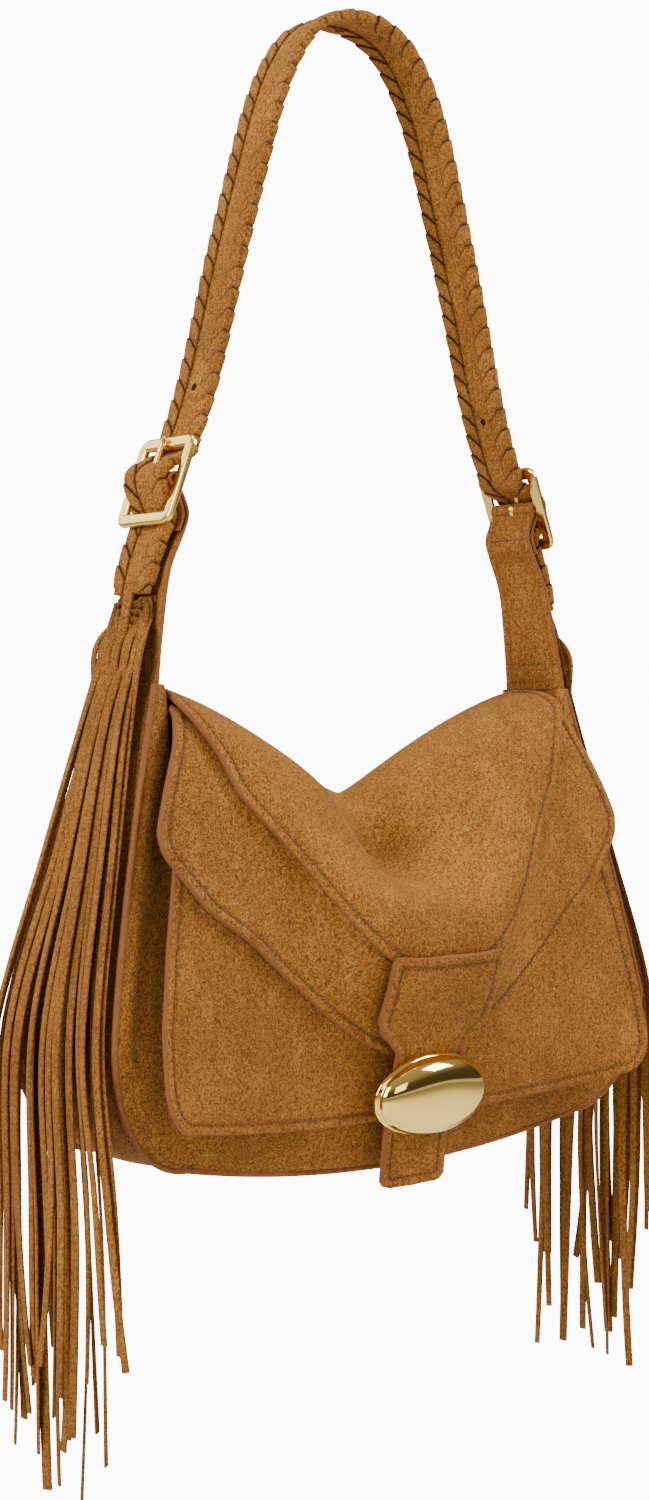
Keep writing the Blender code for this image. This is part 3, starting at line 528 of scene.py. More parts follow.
def stitches(name, rows):
    """Saddle stitches: short capsules whose middle stands proud and whose ends dive into the leather.

    Each row is (path, normals). A point is spot + along * L/2 * t + (normal cos a + side sin a) * r * w(t).
    """
    share = np.array([-1.0, -0.72, -0.3, 0.3, 0.72, 1.0])
    width = np.array([0.35, 0.8, 1.0, 1.0, 0.8, 0.35])
    sink = np.array([-0.55, -0.1, 0.25, 0.25, -0.1, -0.55])
    turns = np.arange(6) * math.pi / 3
    points = []
    for path, normals in rows:
        spots, along, place = resample(path, stitch_pitch)
        index = np.clip((place * (len(path) - 1)).astype(int), 0, len(path) - 1)
        up = unit(normals[index])
        side = unit(np.cross(along, up))
        centre = (spots[:, None] + along[:, None] * (share * stitch_length / 2)[None, :, None]
                  + up[:, None] * (sink * thread_radius)[None, :, None])
        around = (up[:, None] * np.cos(turns)[None, :, None] + side[:, None] * np.sin(turns)[None, :, None])
        points.append(centre[:, :, None] + around[:, None] * (width * thread_radius)[None, :, None, None])
    points = np.concatenate(points)
    count, rings, corners = points.shape[:3]
    one = np.array(grid_faces(rings, corners, 0, False, True))
    offsets = np.arange(count) * rings * corners
    faces = (one[None] + offsets[:, None, None]).reshape(-1, 4).tolist()
    for offset in offsets.tolist():
        faces.append(list(range(offset, offset + corners)))
        faces.append(list(range(offset + (rings - 1) * corners, offset + rings * corners)))
    return piece(name, points, faces, thread)


# The flap's face

side_section = np.array([(6, 241), (-14, 240), (-29, 232), (-39, 213), (-45, 192), (-50, 169),
                         (-55, 141), (-60, 111), (-65, 79), (-71, 43), (-76, 8)]) * mm
middle_section = np.array([(6, 187), (-17, 177), (-39, 161), (-60, 147), (-72.5, 131), (-75.5, 113),
                           (-70.5, 95), (-62.8, 77), (-59, 56), (-55, 29), (-51, -6)]) * mm
crest_stations = 3
nose_stations = 5
lower_edge_station = 9.07
last_station = 10
row_step = 0.55
hollow_half_width = 25 * mm
hollow_station = 2.1
hollow_depth = 18 * mm


def crest_weight(x):
    """One at the middle of the sag, falling as (1 - reach / 125 mm) to the power 1.4."""
    reach = np.sqrt(x * x + sag_rounding ** 2) - sag_rounding
    return np.maximum(0.0, 1 - reach / top_sag_reach) ** 1.4


def nose_weight(x):
    """A flat-topped bell: exp(-0.7 (x / 70 mm)^4)."""
    return np.exp(-0.7 * (np.abs(x) / nose_half_width) ** 4)


def flare_weight(x):
    """One less (x / 150 mm)^2.5, not under -0.15, so that the lower corners stand forward."""
    return np.maximum(-0.15, 1 - (np.abs(x) / flare_half_width) ** 2.5)


def curve_mix(part):
    """The four Catmull-Rom weights at a part of a span."""
    return (-part + 2 * part ** 2 - part ** 3, 2 - 5 * part ** 2 + 3 * part ** 3,
            part + 4 * part ** 2 - 3 * part ** 3, part ** 3 - part ** 2)


def carried_on(values):
    """A list with one more value at each end, in line with its last two."""
    return np.concatenate([2 * values[:1] - values[1:2], values, 2 * values[-1:] - values[-2:-1]])


def smooth_line(values, position):
    """Catmull-Rom curve through a list of points, at an array of positions along the list."""
    padded = carried_on(values)
    span = np.clip(np.floor(position).astype(int), 0, len(values) - 2)
    weights = curve_mix((position - span)[:, None])
    return 0.5 * sum(weight * padded[span + step] for step, weight in enumerate(weights))


def section_curve(x, station):
    """Depth and height of the flap's face: side + (middle - side) * weight, smoothed down the stations.

    A bell in x and in station, moved back and down, scoops out the hollow between the crest and the nose.
    """
    weight = np.empty((last_station + 1,) + x.shape)
    weight[:crest_stations] = crest_weight(x)
    weight[crest_stations:crest_stations + nose_stations] = nose_weight(x)
    weight[crest_stations + nose_stations:] = flare_weight(x)
    spread = (slice(None),) + (None,) * x.ndim
    values = side_section[spread] + (middle_section - side_section)[spread] * weight[..., None]
    padded = carried_on(values)
    span = np.clip(np.floor(station).astype(int), 0, last_station - 1)
    weights = curve_mix((station - span)[..., None])
    line = 0.5 * sum(weight_at * np.take_along_axis(padded, (span + step)[None, ..., None], 0)[0]
                     for step, weight_at in enumerate(weights))
    scoop = np.exp(-(x / hollow_half_width) ** 2 - ((station - hollow_station) / 1.05) ** 2)
    return line + scoop[..., None] * np.array([hollow_depth, -0.45 * hollow_depth])


def on_flap(x, station, lift=0.0):
    """Point and normal of the flap's face, with soft dents shared by every layer."""
    x, station = np.broadcast_arrays(np.asarray(x, float), np.asarray(station, float))
    here = section_curve(x, station)
    down = section_curve(x, station + station_step) - section_curve(x, station - station_step)
    across = section_curve(x + x_step, station) - section_curve(x - x_step, station)
    down = np.concatenate([np.zeros(x.shape + (1,)), down], -1)
    across = np.concatenate([np.full(x.shape + (1,), 2 * x_step), across], -1)
    normal = unit(np.cross(down, across))
    point = np.concatenate([x[..., None], here], -1)
    dents = (np.sin(x / (31 * mm) + station * 1.3) * np.sin(station * 1.1 + 0.7)
             + 0.6 * np.sin(x / (17 * mm) - station * 0.9 + 1.0)) * 0.45 * mm
    fade = np.clip(station / 1.5, 0, 1)
    return point + normal * (np.asarray(lift) + dents * fade)[..., None], normal


def station_at(x, height):
    """Station where the face has a height, by halving the range thirty times."""
    x, height = np.broadcast_arrays(np.asarray(x, float), np.asarray(height, float))
    low = np.full(x.shape, 1.0)
    high = np.full(x.shape, float(last_station))
    for _ in range(30):
        middle = (low + high) / 2
        above = section_curve(x, middle)[..., 1] > height
        low = np.where(above, middle, low)
        high = np.where(above, high, middle)
    return low


def outline_by_station(outline, start, start_half_width):
    """Stations and half widths of an outline given as (half width, height) in millimetres."""
    stations = [start]
    widths = [start_half_width]
    for half_width, height in outline:
        station = float(station_at(half_width * mm, height * mm))
        if station > stations[-1] + 0.02:
            stations.append(station)
            widths.append(half_width * mm)
    return np.array(stations), np.array(widths)


def eased(stations, widths, count, soft=0.07):
    """An outline sampled evenly, its corners rounded by a bell-shaped average."""
    fine = np.linspace(stations[0], stations[-1], 600)
    line = np.interp(fine, stations, widths)
    spread = np.arange(-40, 41) * (fine[1] - fine[0])
    bell = np.exp(-(spread / soft) ** 2)
    bell /= bell.sum()
    lead = line[0] - (line[40:0:-1] - line[0])
    tail = line[-1] - (line[-2:-42:-1] - line[-1])
    smooth = np.convolve(np.concatenate([lead, line, tail]), bell, "valid")
    samples = np.linspace(stations[0], stations[-1], count)
    return samples, np.interp(samples, fine, smooth)


def crowded(count):
    """Shares from -1 to 1, closer together near both ends: 1.4 t - 0.4 t^3."""
    t = np.linspace(-1, 1, count)
    return 1.4 * t - 0.4 * t ** 3


def flap_layer(name, x, station, lift, thickness, held):
    """A thick layer of the flap with a puffed, painted edge; `held` rows of its border are not cut edges."""
    flat, _ = on_flap(x, station, lift)
    loop, _ = border(*x.shape)
    open_edge = loop // x.shape[1] >= held
    edge = nearness(flat, flat.reshape(-1, 3)[loop[open_edge]])
    outer, _ = on_flap(x, station, lift + puff(edge))
    inner, _ = on_flap(x, station, lift - thickness)
    return slab(name, outer, inner, tan, edge=edge)


def seam_on_flap(x, station, toward, lift):
    """A seam path inside an outline: each point steps inwards by the inset, measured on the face.

    The step solves the face's two directions for a move of the inset at right angles to the edge.
    """
    point, normal = on_flap(x, station, lift)
    by_x = on_flap(x + x_step, station, lift)[0] - on_flap(x - x_step, station, lift)[0]
    by_x = by_x / (2 * x_step)
    by_station = on_flap(x, station + station_step, lift)[0] - on_flap(x, station - station_step, lift)[0]
    by_station = by_station / (2 * station_step)
    inward = unit(np.cross(normal, unit(np.gradient(point, axis=0))))
    aim = on_flap(np.array([toward[0]]), np.array([toward[1]]), lift)[0][0]
    if (inward * (aim - point)).sum(-1).mean() < 0:
        inward = -inward
    step = inward * stitch_inset
    own_x, shared, own_station = ((first * second).sum(-1) for first, second in
                                  ((by_x, by_x), (by_x, by_station), (by_station, by_station)))
    step_x, step_station = ((step * direction).sum(-1) for direction in (by_x, by_station))
    scale = own_x * own_station - shared * shared
    return on_flap(x + (step_x * own_station - step_station * shared) / scale,
                   station + (step_station * own_x - step_x * shared) / scale, lift - 0.1 * mm)


# Shape of the body

def body_half_width(height):
    """Narrow shoulders above, a rounded belly, and a quarter ellipse into the bottom."""
    rise = np.clip((height - widest_height) / (bag_top - widest_height), 0, None)
    upper = widest_half_width + (top_half_width - widest_half_width) * rise ** 1.15
    fall = np.clip((widest_height - height) / (widest_height - bottom_corner_height), 0, 1)
    lower = bottom_half_width + (widest_half_width - bottom_half_width) * np.sqrt(np.maximum(0, 1 - fall ** 2))
    return np.where(height >= widest_height, upper, lower)


def body_half_depth(height):
    """Distance of the seams from the middle plane: widest at the belly, falling by powers of the height."""
    rise = np.clip((height - widest_height) / (bag_top - widest_height), 0, None)
    fall = np.clip((widest_height - height) / widest_height, 0, None)
    upper = belly_half_depth + (top_half_depth - belly_half_depth) * rise ** 0.95
    lower = belly_half_depth + (bottom_half_depth - belly_half_depth) * fall ** 1.5
    return np.where(height >= widest_height, upper, lower)


def body_rows(top, side_count, corner_count, bottom_count, last_share):
    """Heights and half widths down a side, round the corner and along the bottom."""
    side = np.linspace(top, widest_height, side_count, endpoint=False)
    angle = np.linspace(0, math.pi / 2, corner_count, endpoint=False)
    corner = widest_height - (widest_height - bottom_corner_height) * np.sin(angle)
    share = np.linspace(1, last_share, bottom_count)
    bottom = bottom_corner_height - bottom_sag * (1 - share ** 2)
    heights = np.concatenate([side, corner, bottom])
    widths = np.concatenate([body_half_width(side), body_half_width(corner), bottom_half_width * share])
    return heights, widths


def back_top(x):
    """Height of the crest: the flap's face at its first station."""
    return section_curve(np.asarray(x, float), np.zeros(np.shape(x)))[..., 1]


def slack(x, height, phase):
    """Soft hollows of hanging leather: three waves of a few centimetres, half a millimetre high."""
    return (np.sin(x / (33 * mm) + phase) * np.cos(height / (29 * mm) + phase)
            + 0.7 * np.sin(x / (19 * mm) + height / (41 * mm) - phase)) * 0.45 * mm


def inside_band(share, low=0.935, high=0.97):
    """One inside the seam's flat band, nought on it."""
    t = np.clip((high - np.abs(share)) / (high - low), 0, 1)
    return t * t * (3 - 2 * t)


def build_front_panel():
    """Front of the body: depth = seam depth + bulge, its upper edge sinking with the flap."""
    heights, widths = body_rows(bag_top, 70, 22, 26, 0.02)
    share = crowded(111)
    height = heights[:, None] + 0 * share[None]
    x = widths[:, None] * share[None]
    rise = np.clip((height - bottom_corner_height) / (bag_top - bottom_corner_height), 0, None)
    drop = (bag_top - back_top(top_half_width * share)[None] + mouth_drop) * inside_band(share)[None]
    level = height - drop * rise
    depth = -body_half_depth(height) - touch_gap - front_bulge * (1 - share[None] ** 2)
    swell = slack(x, level, 0.4) * inside_band(share, 0.7, 1.0)[None]
    inner = xyz(x, depth, level)
    outer = xyz(x, depth - body_leather + swell, level)
    made = slab("front_shell", outer, inner, tan, False)
    return made, outer


def shoulder_arc(x, angles, lift):
    """Quarter ellipse over the back's shoulder: depth = seat + (reach + lift) cos a, rise = (drop + lift) sin a."""
    seat = crest_depth + crest_gap
    reach = body_half_depth(np.array(bag_top - back_shoulder_drop)) + touch_gap - seat
    rise = (back_shoulder_drop - body_leather + lift) * np.sin(angles)
    return xyz(x, seat + (reach + lift) * np.cos(angles), back_top(x) - back_shoulder_drop + rise)


def build_back_panel():
    """Back of the body: an arc over the shoulder, then seam depth + bulge, sunk where the flap laps over it."""
    shoulder = bag_top - back_shoulder_drop
    heights, widths = body_rows(shoulder, 60, 22, 26, 0.02)
    share = crowded(111)
    inside = inside_band(share)
    angles = np.linspace(math.pi / 2, 0, 26, endpoint=False)[:, None]
    shoulder_width = body_half_width(np.array(shoulder))
    arc_x = (shoulder_width + (top_half_width - shoulder_width) * np.sin(angles) ** 2) * share[None]
    side_height = shoulder + back_shoulder_drop * (angles / (math.pi / 2))
    seam = xyz(body_half_width(side_height) * share[None], body_half_depth(side_height) + touch_gap, side_height)
    height = heights[:, None] + 0 * share[None]
    x = widths[:, None] * share[None]
    rise = np.clip((height - bottom_corner_height) / (shoulder - bottom_corner_height), 0, None)
    sink = (bag_top - back_top(top_half_width * share)[None]) * inside[None] * rise
    swell = back_bulge * np.maximum(0, 0.94 - share[None] ** 2) * np.sin(np.pi * np.clip(rise, 0, 1))
    depth = body_half_depth(height) + touch_gap + swell
    level = height - sink
    below = shoulder - height
    tuck = lap_recess * np.clip(1 - below / (9 * mm), 0, 1) ** 2 * inside[None]
    wave = slack(x, level, 1.9) * inside_band(share, 0.7, 1.0)[None] * np.clip(below / (30 * mm), 0, 1)
    faces = []
    for wall, waviness in ((body_leather, 1), (0.0, 0)):
        at_seam = seam + backward * wall
        over = at_seam + (shoulder_arc(arc_x, angles, wall - lap_recess) - at_seam) * inside[None, :, None]
        faces.append(np.concatenate([over, xyz(x, depth + wall + waviness * wave - tuck, level)]))
    outer, inner = faces
    return slab("back_shell", outer, inner, tan, False), outer


def body_line(count):
    """The seam line from the left top round the bottom to the right top, and its outward normals."""
    heights, widths = body_rows(bag_top, count, count // 2, count // 2, 0.0)
    x = np.concatenate([-widths, widths[-2::-1]])
    z = np.concatenate([heights, heights[-2::-1]])
    along = unit(np.stack([np.gradient(x), np.gradient(z)], -1))
    return x, z, xyz(along[:, 1], 0, -along[:, 0])


def build_gusset():
    """Band between the panels: seat + normal * swell * (1 - d^2) + Y * d * half depth."""
    x, z, normal = body_line(110)
    across = np.linspace(-1, 1, 33)
    half = body_half_depth(z)
    wave = (np.sin(z / (27 * mm))[:, None] * np.cos(across * 2.2)[None]) * 0.5 * mm * (1 - across ** 2)[None]
    raised = gusset_swell * (1 - across[None] ** 2) + wave
    seat = xyz(x, 0, z)[:, None] + backward * (half[:, None] * across[None])[..., None]
    outer = seat + normal[:, None] * raised[..., None]
    inner = seat + normal[:, None] * (gusset_swell * (1 - across[None] ** 2) - body_leather)[..., None]
    return slab("gusset_band", outer, inner, tan, False), outer


def build_piping(name, side):
    """Rolled cord: a circle carried along the seam: centre + normal * r cos a + Y * r sin a."""
    x, z, normal = body_line(220)
    depth = side * (body_half_depth(z) + touch_gap + body_leather / 2)
    centres = xyz(x, depth, z) + normal * piping_offset
    angle = full_turn(12)
    ring = np.stack([np.cos(angle), np.sin(angle)], -1) * piping_radius
    rises = np.tile(backward, (len(x), 1))
    return piece(name, swept(centres, normal, rises, ring), tube_faces(len(x), 12), tan,
                 np.full(len(x) * 12, 0.42 * mm))


# Layers of the flap

centre_outline = outline_by_station([(126, 232), (103, 187), (84, 163), (62, 137), (40, 114), (22, 101)],
                                    0.0, flap_top_half_width)
centre_rows, centre_widths = eased(*centre_outline, 170, 0.24)
wing_start = 3 * row_step
wing_outline = outline_by_station(
    [(128, 229), (133, 216), (143.5, 192), (150, 174), (148.5, 164), (144, 158), (126, 137),
     (88, 104), (58, 82), (28, 64), (20, 60)], wing_start, flap_top_half_width)
wing_rows, wing_widths = eased(*wing_outline, 190, 0.13)
lower_start = 8 * row_step


def build_centre():
    """Centre layer: x = half width * share and the face's point, with the lap over the back's shoulder before it."""
    share = crowded(141)
    x = centre_widths[:, None] * share[None]
    face, _ = on_flap(x, centre_rows[:, None] + 0 * x)
    angles = np.linspace(0, math.pi / 2, 22, endpoint=False)[:, None]
    lap = shoulder_arc((flap_top_half_width + 1 * mm * np.cos(angles)) * share[None], angles, body_leather)
    flat = np.concatenate([lap, face])
    loop, _ = border(*flat.shape[:2])
    edge = nearness(flat, flat.reshape(-1, 3)[loop])
    normal = grid_normals(flat)
    if (normal[:, :, 1][-20:]).mean() > 0:
        normal = -normal
    outer = flat + normal * puff(edge)[..., None]
    inner = flat - normal * (flap_leather * 0.9)
    made = slab("flap_centre_layer", outer, inner, tan, edge=edge)
    seams = [seam_on_flap(side * centre_widths[2:], centre_rows[2:], (0.0, 2.5), 0.0) for side in (-1, 1)]
    lap_seam = lap[4, 4:-4] + 0.05 * mm
    seams.append((lap_seam, np.tile([0.0, 1.0, 0.2], (len(lap_seam), 1))))
    return made, stitches("flap_centre_seam", seams)


def build_wing(word, side):
    """A wing: x from under the centre layer's edge to the wing's own half width, in shares crowded at both."""
    covered = np.where(wing_rows < centre_rows[-1], np.interp(wing_rows, centre_rows, centre_widths), 0.0)
    near = np.minimum(np.maximum(covered - wing_tuck, wing_parting), wing_widths - 4 * mm)
    share = (crowded(121) + 1) / 2
    x = side * (near[:, None] + (wing_widths - near)[:, None] * share[None])
    wing = flap_layer(word + "_wing_leather", x, wing_rows[:, None] + 0 * x, wing_lift, flap_leather, 3)
    seam = seam_on_flap(side * wing_widths[3:-4], wing_rows[3:-4], (side * 0.07, 4.0), wing_lift)
    return wing, stitches(word + "_wing_seam", [seam])


def build_lower_flap():
    """Lower layer: x = half width * share, its corners a quarter ellipse in station and half width."""
    corner = float(station_at(150 * mm, 60 * mm))
    fall = lower_edge_station - corner
    stations, widths = outline_by_station([(141, 156), (149, 119), (154, 85), (155, 63)], lower_start, 136 * mm)
    turn = np.radians(np.linspace(8, 90, 12))
    stations = np.append(stations, corner + fall * np.sin(turn))
    widths = np.append(widths, lower_flap_half_width - lower_flap_corner * (1 - np.cos(turn)))
    rows = np.concatenate([np.linspace(lower_start, corner, 70, endpoint=False),
                           corner + fall * np.sin(np.linspace(0, math.pi / 2, 26))])
    half_width = np.interp(rows, stations, widths)
    x = half_width[:, None] * crowded(151)[None]
    made = flap_layer("flap_lower_layer", x, rows[:, None] + 0 * x, lower_lift, flap_leather * 0.8, 3)
    edge_x = np.linspace(half_width[-1], -half_width[-1], 120)[1:-1]
    seam_x = np.concatenate([half_width[4:], edge_x, -half_width[:3:-1]])
    seam_rows_at = np.concatenate([rows[4:], np.full(len(edge_x), lower_edge_station), rows[:3:-1]])
    return made, stitches("flap_lower_seam", [seam_on_flap(seam_x, seam_rows_at, (0.0, 6.0), lower_lift)])


# Closure

def closure_lift(height):
    """Over the centre layer above, falling to the lower layer at the tail."""
    return np.interp(height, [20 * mm, 62 * mm], [closure_tail_lift, closure_leather + closure_gap])


def build_closure_tab():
    """Plate, stepped neck and tail: half width by height, rounded, on the flap's face."""
    plate, neck, tail = closure_plate_half_width, closure_neck_half_width, closure_tail_half_width
    outline = [(closure_top_height, plate - 5 * mm), (closure_top_height - 0.8 * mm, plate - 2 * mm),
               (closure_top_height - 3.5 * mm, plate), (closure_neck_height + 12 * mm, plate + 0.5 * mm),
               (closure_neck_height + 6 * mm, plate - 2 * mm), (closure_neck_height + 1 * mm, neck + 5 * mm),
               (closure_neck_height - 4 * mm, neck), (clasp_height - 15 * mm, tail), (-2 * mm, tail),
               (-4.6 * mm, tail - 2 * mm), (-5.6 * mm, tail - 5 * mm)]
    heights, widths = np.array(outline).T
    level = np.concatenate([np.linspace(heights[0], heights[2], 8, endpoint=False),
                            np.linspace(heights[2], -1.5 * mm, 120, endpoint=False),
                            np.linspace(-1.5 * mm, heights[-1], 9)])
    width = np.interp(-level, -heights, widths)
    station = station_at(0 * level, level)
    x = width[:, None] * crowded(61)[None]
    lift = closure_lift(level)[:, None] + 0 * x
    made = flap_layer("closure_tab_leather", x, station[:, None] + 0 * x, lift, closure_leather, 0)
    sides = slice(9, -8)
    seams = [on_flap(side * (width[sides] - stitch_inset), station[sides], closure_lift(level[sides]) - 0.1 * mm)
             for side in (-1, 1)]
    for seam_level, reach in ((closure_top_height - stitch_inset, plate), (heights[-1] + stitch_inset, tail)):
        seam_x = np.linspace(-1, 1, 40) * (reach - stitch_inset)
        seam_station = np.full(40, float(station_at(0.0, seam_level)))
        seams.append(on_flap(seam_x, seam_station, np.full(40, float(closure_lift(seam_level)) - 0.1 * mm)))
    return made, stitches("closure_seam", seams)


def build_clasp():
    """Polished oval dome: rise = rim + (height - rim) sin(a), radius = 0.955 cos(a)^0.82, with a rolled foot."""
    low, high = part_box("clasp_dome")
    seat = np.array([0.0, high.y - clasp_half_height * math.sin(clasp_tilt),
                     high.z - clasp_half_height * math.cos(clasp_tilt) + hang_height])
    facing = np.array([0.0, -math.cos(clasp_tilt), -math.sin(clasp_tilt)])
    up = np.array([0.0, -math.sin(clasp_tilt), math.cos(clasp_tilt)])
    turn = np.linspace(0, math.pi / 2, 26)
    rise = np.concatenate([[0.0, 0.0, 0.35 * mm, 1.2 * mm, 2.2 * mm, 2.7 * mm],
                           clasp_rim + (clasp_dome_height - clasp_rim) * np.sin(turn)])
    share = np.concatenate([[0.0, 0.97, 1.0, 1.01, 0.995, 0.965], 0.955 * np.cos(turn) ** 0.82])
    share[-1] = 0.0
    angle = full_turn(112)
    across = np.cos(angle)[None] * share[:, None] * clasp_half_length
    along = np.sin(angle)[None] * share[:, None] * clasp_half_height
    body = (seat + facing * rise[:, None, None] + sideways * across[..., None] + up * along[..., None])[1:-1]
    rings, around = body.shape[:2]
    points = np.concatenate([body.reshape(-1, 3), [seat], [seat + facing * clasp_dome_height]])
    faces = grid_faces(rings, around, 0, False, True).tolist()
    foot = rings * around
    for step in range(around):
        beside = (step + 1) % around
        faces.append([foot, beside, step])
        faces.append([foot + 1, foot - around + step, foot - around + beside])
    return piece("clasp_polished_dome", points, faces, gold)


# Strap, lacing, buckles and tabs

frame_up = np.array([-math.sin(buckle_lean), 0.0, math.cos(buckle_lean)])
frame_out = np.array([math.cos(buckle_lean), 0.0, math.sin(buckle_lean)])
frame_centre = np.array([buckle_centre_x, 0.0, buckle_centre_height])
bar_reach = (buckle_height - bar_width) / 2
laced_half = strap_thickness / 2 + 0.55 * mm + 1.0 * mm
behind_bar = -(bar_depth / 2 + laced_half + 2 * touch_gap)
loop_radius = centre_bar_radius + 1.6 * touch_gap + tab_leather / 2
over_bar = loop_radius + tab_leather / 2 + laced_half + 1.5 * touch_gap


def on_frame(along, out):
    """Point in the right buckle's own directions."""
    return frame_centre + frame_up * along + frame_out * out


def strap_half_route():
    """The strap's middle line on the right, from its lower end to the crown."""
    rest = [(99, 375), (90.5, 402), (78.5, 447), (66, 490), (55, 525), (44, 549), (31, 566), (16, 574.5), (0, 577)]
    lower = [np.array([134, 0, 283]) * mm, np.array([129.5, 0, 299]) * mm,
             on_frame(-bar_reach - 3 * mm, behind_bar), on_frame(-bar_reach + 3.2 * mm, behind_bar),
             on_frame(0.0, over_bar), on_frame(bar_reach - 3.2 * mm, behind_bar),
             on_frame(bar_reach + 3 * mm, behind_bar)]
    return np.array(lower + [np.array([x, 0, z]) * mm for x, z in rest])


def measured(route, fineness=40):
    """A route sampled finely, with the distance run to each sample and the outward normals."""
    mirrored = np.concatenate([route, route[-2::-1] * (-1, 1, 1)])
    position = np.linspace(0, len(route) - 1, (len(route) - 1) * fineness + 1)
    line = smooth_line(mirrored, position)
    run = np.concatenate([[0], np.cumsum(np.linalg.norm(np.diff(line, axis=0), axis=1))])
    along = unit(np.gradient(line, axis=0))
    return line, run, xyz(along[:, 2], 0, -along[:, 0])


strap_line, strap_run, strap_outward = measured(strap_half_route())
strap_half_length = strap_run[-1]


def on_strap(distance, lift):
    """Point of the right half at a distance from its lower end, lifted off the middle line."""
    distance = np.clip(distance, 0, strap_half_length)
    spot = np.stack([np.interp(distance, strap_run, strap_line[:, axis]) for axis in range(3)], -1)
    out = unit(np.stack([np.interp(distance, strap_run, strap_outward[:, axis]) for axis in range(3)], -1))
    return spot + out * np.asarray(lift)[..., None], out


def both_sides(half):
    """A half of the strap's points, mirrored and joined at the crown."""
    return np.concatenate([half * (-1, 1, 1), half[-2::-1]])


def build_strap():
    """The smooth band: a rounded bar carried from one end over the crown to the other."""
    distance = np.linspace(0, strap_half_length, 230)
    ring = rounded_bar(strap_width, strap_thickness, 0.9 * mm, 3)
    spots = np.stack([on_strap(distance, np.full(len(distance), lift))[0] + backward * across
                      for across, lift in ring], 1)
    points = both_sides(spots)
    made = piece("strap_band", points, tube_faces(len(points), len(ring)), tan,
                 np.full(len(points) * len(ring), 9 * mm))
    across = np.linspace(-1, 1, 12) * (strap_width / 2 - lace_reach)
    spot, out = on_strap(np.full(12, 5 * mm), np.full(12, strap_thickness / 2))
    rows = [((spot + backward * across[:, None]) * (side, 1, 1), out * (side, 1, 1))
            for side in (-1, 1)]
    return made, stitches("strap_end_seam", rows)


def build_lacing(name, edge):
    """Whip-laced thong: overlapping leaves that wrap the strap's edge.

    A leaf's lift grows as 0.3 + 0.7 f over its pitch f and drops at its upper end, and each ring of points
    leans by slant * (1 - 2 q^1.3), q being nought at the edge and one at the inner line on either face. Four
    flat rings close it inside.
    """
    turns = int(strap_half_length / lace_pitch)
    pitch = strap_half_length / turns
    share = np.array([0.0, 0.04, 0.14, 0.34, 0.56, 0.76, 0.90, 0.955])
    lift = np.array([0.28, 0.33, 0.46, 0.66, 0.82, 0.94, 1.0, 0.94])
    middle = np.append((np.arange(turns)[:, None] + share[None]).ravel(), turns) * pitch
    lip = np.append(np.tile(lift, turns), 0.28) * lace_thickness
    half = strap_width / 2
    face = strap_thickness / 2 + lace_gap
    inward = np.array([1.0, 0.86, 0.66, 0.46, 0.28, 0.12])
    turn = np.radians([70, 35, 0, -35, -70])
    flat_rings = list(zip(inward, half - lace_reach * inward))
    rings = ([(part, across, face, 1.0, 0.0) for part, across in flat_rings]
             + [(0.0, half + 0.2 * mm, face * math.sin(angle), math.sin(angle), math.cos(angle)) for angle in turn]
             + [(part, across, -face, -1.0, 0.0) for part, across in flat_rings[::-1]])

    def leaning(part):
        """Distances along the strap of a ring's points."""
        return middle + lace_slant * (1 - 2 * part ** 1.3)

    rows = []
    for part, across, level, thick, curl in rings:
        tip = 0.45 if part == 1.0 else 1.0
        spot, _ = on_strap(leaning(part), level + lip * thick * tip)
        rows.append(spot + backward * (edge * (across + lip * curl))[:, None])
    seat = face - 0.1 * mm
    outer_edge = half + 0.1 * mm
    for part, across, level in ((1.0, half - lace_reach, -seat), (0.0, outer_edge, -face * 0.6),
                                (0.0, outer_edge, face * 0.6), (1.0, half - lace_reach, seat)):
        spot, _ = on_strap(leaning(part), np.full(len(middle), level))
        rows.append(spot + backward * (edge * across))
    points = both_sides(np.stack(rows, 1))
    reach = np.full(points.shape[:2], 9 * mm)
    # Painted shadow lines: dark at the step between one leaf's top and the next leaf's foot, and dark along the
    # lacing's inner line on both faces
    shade = np.append(np.tile([1.0, 0.55, 0.12, 0, 0, 0, 0.0, 0.8], turns), 0.3)
    shade = np.concatenate([shade, shade[-2::-1]])[:, None] * np.ones(points.shape[1])[None]
    inner = np.zeros(points.shape[1])
    inner[[0, len(rings) - 1]] = 0.75
    shade = np.maximum(shade, inner[None])
    return piece(name, points, tube_faces(*points.shape[:2]), tan, reach, sharp=55, tone_and_painted_shade=shade)


def head_x(layer, height):
    """Middle of a fringe layer's head, stacked on the tab's outer face."""
    rise = (height - tab_middle[1]) / (tab_upper[1] - tab_middle[1])
    stack = tab_leather / 2 + 1.5 * touch_gap + fringe_leather / 2 + layer * head_pitch
    return tab_middle[0] + (tab_upper[0] - tab_middle[0]) * rise + stack


def build_tongues():
    """The strap's middle runs on past its end as a narrow tongue: a rounded bar laid over the fringe's roots."""
    count = 26
    height = np.linspace(fringe_root_height + 2 * mm, fringe_root_height - tongue_length, count)
    ring = rounded_bar(2 * tongue_half_width, strap_thickness, 0.9 * mm, 3)
    spine = xyz(head_x(layers_per_side - 1, height) + 2.6 * mm, 0, height)
    along = unit(np.gradient(spine, axis=0))
    outward = xyz(-along[:, 2], 0, along[:, 0])
    taper = np.clip((height - height[-1]) / (4 * mm), 0.35, 1.0)[:, None, None]
    points = []
    faces = []
    rows = []
    for side in (-1, 1):
        block = swept(spine, np.tile(backward, (count, 1)), outward, ring[None] * taper) * (side, 1, 1)
        faces += tube_faces(count, len(ring), len(points) * count * len(ring))
        points.append(block.reshape(-1, 3))
        rows.append(((spine + outward * strap_thickness / 2)[3:-3] * (side, 1, 1), outward[3:-3] * (side, 1, 1)))
    made = piece("strap_tongues", np.concatenate(points), faces, tan)
    return made, stitches("strap_tongue_seam", rows)


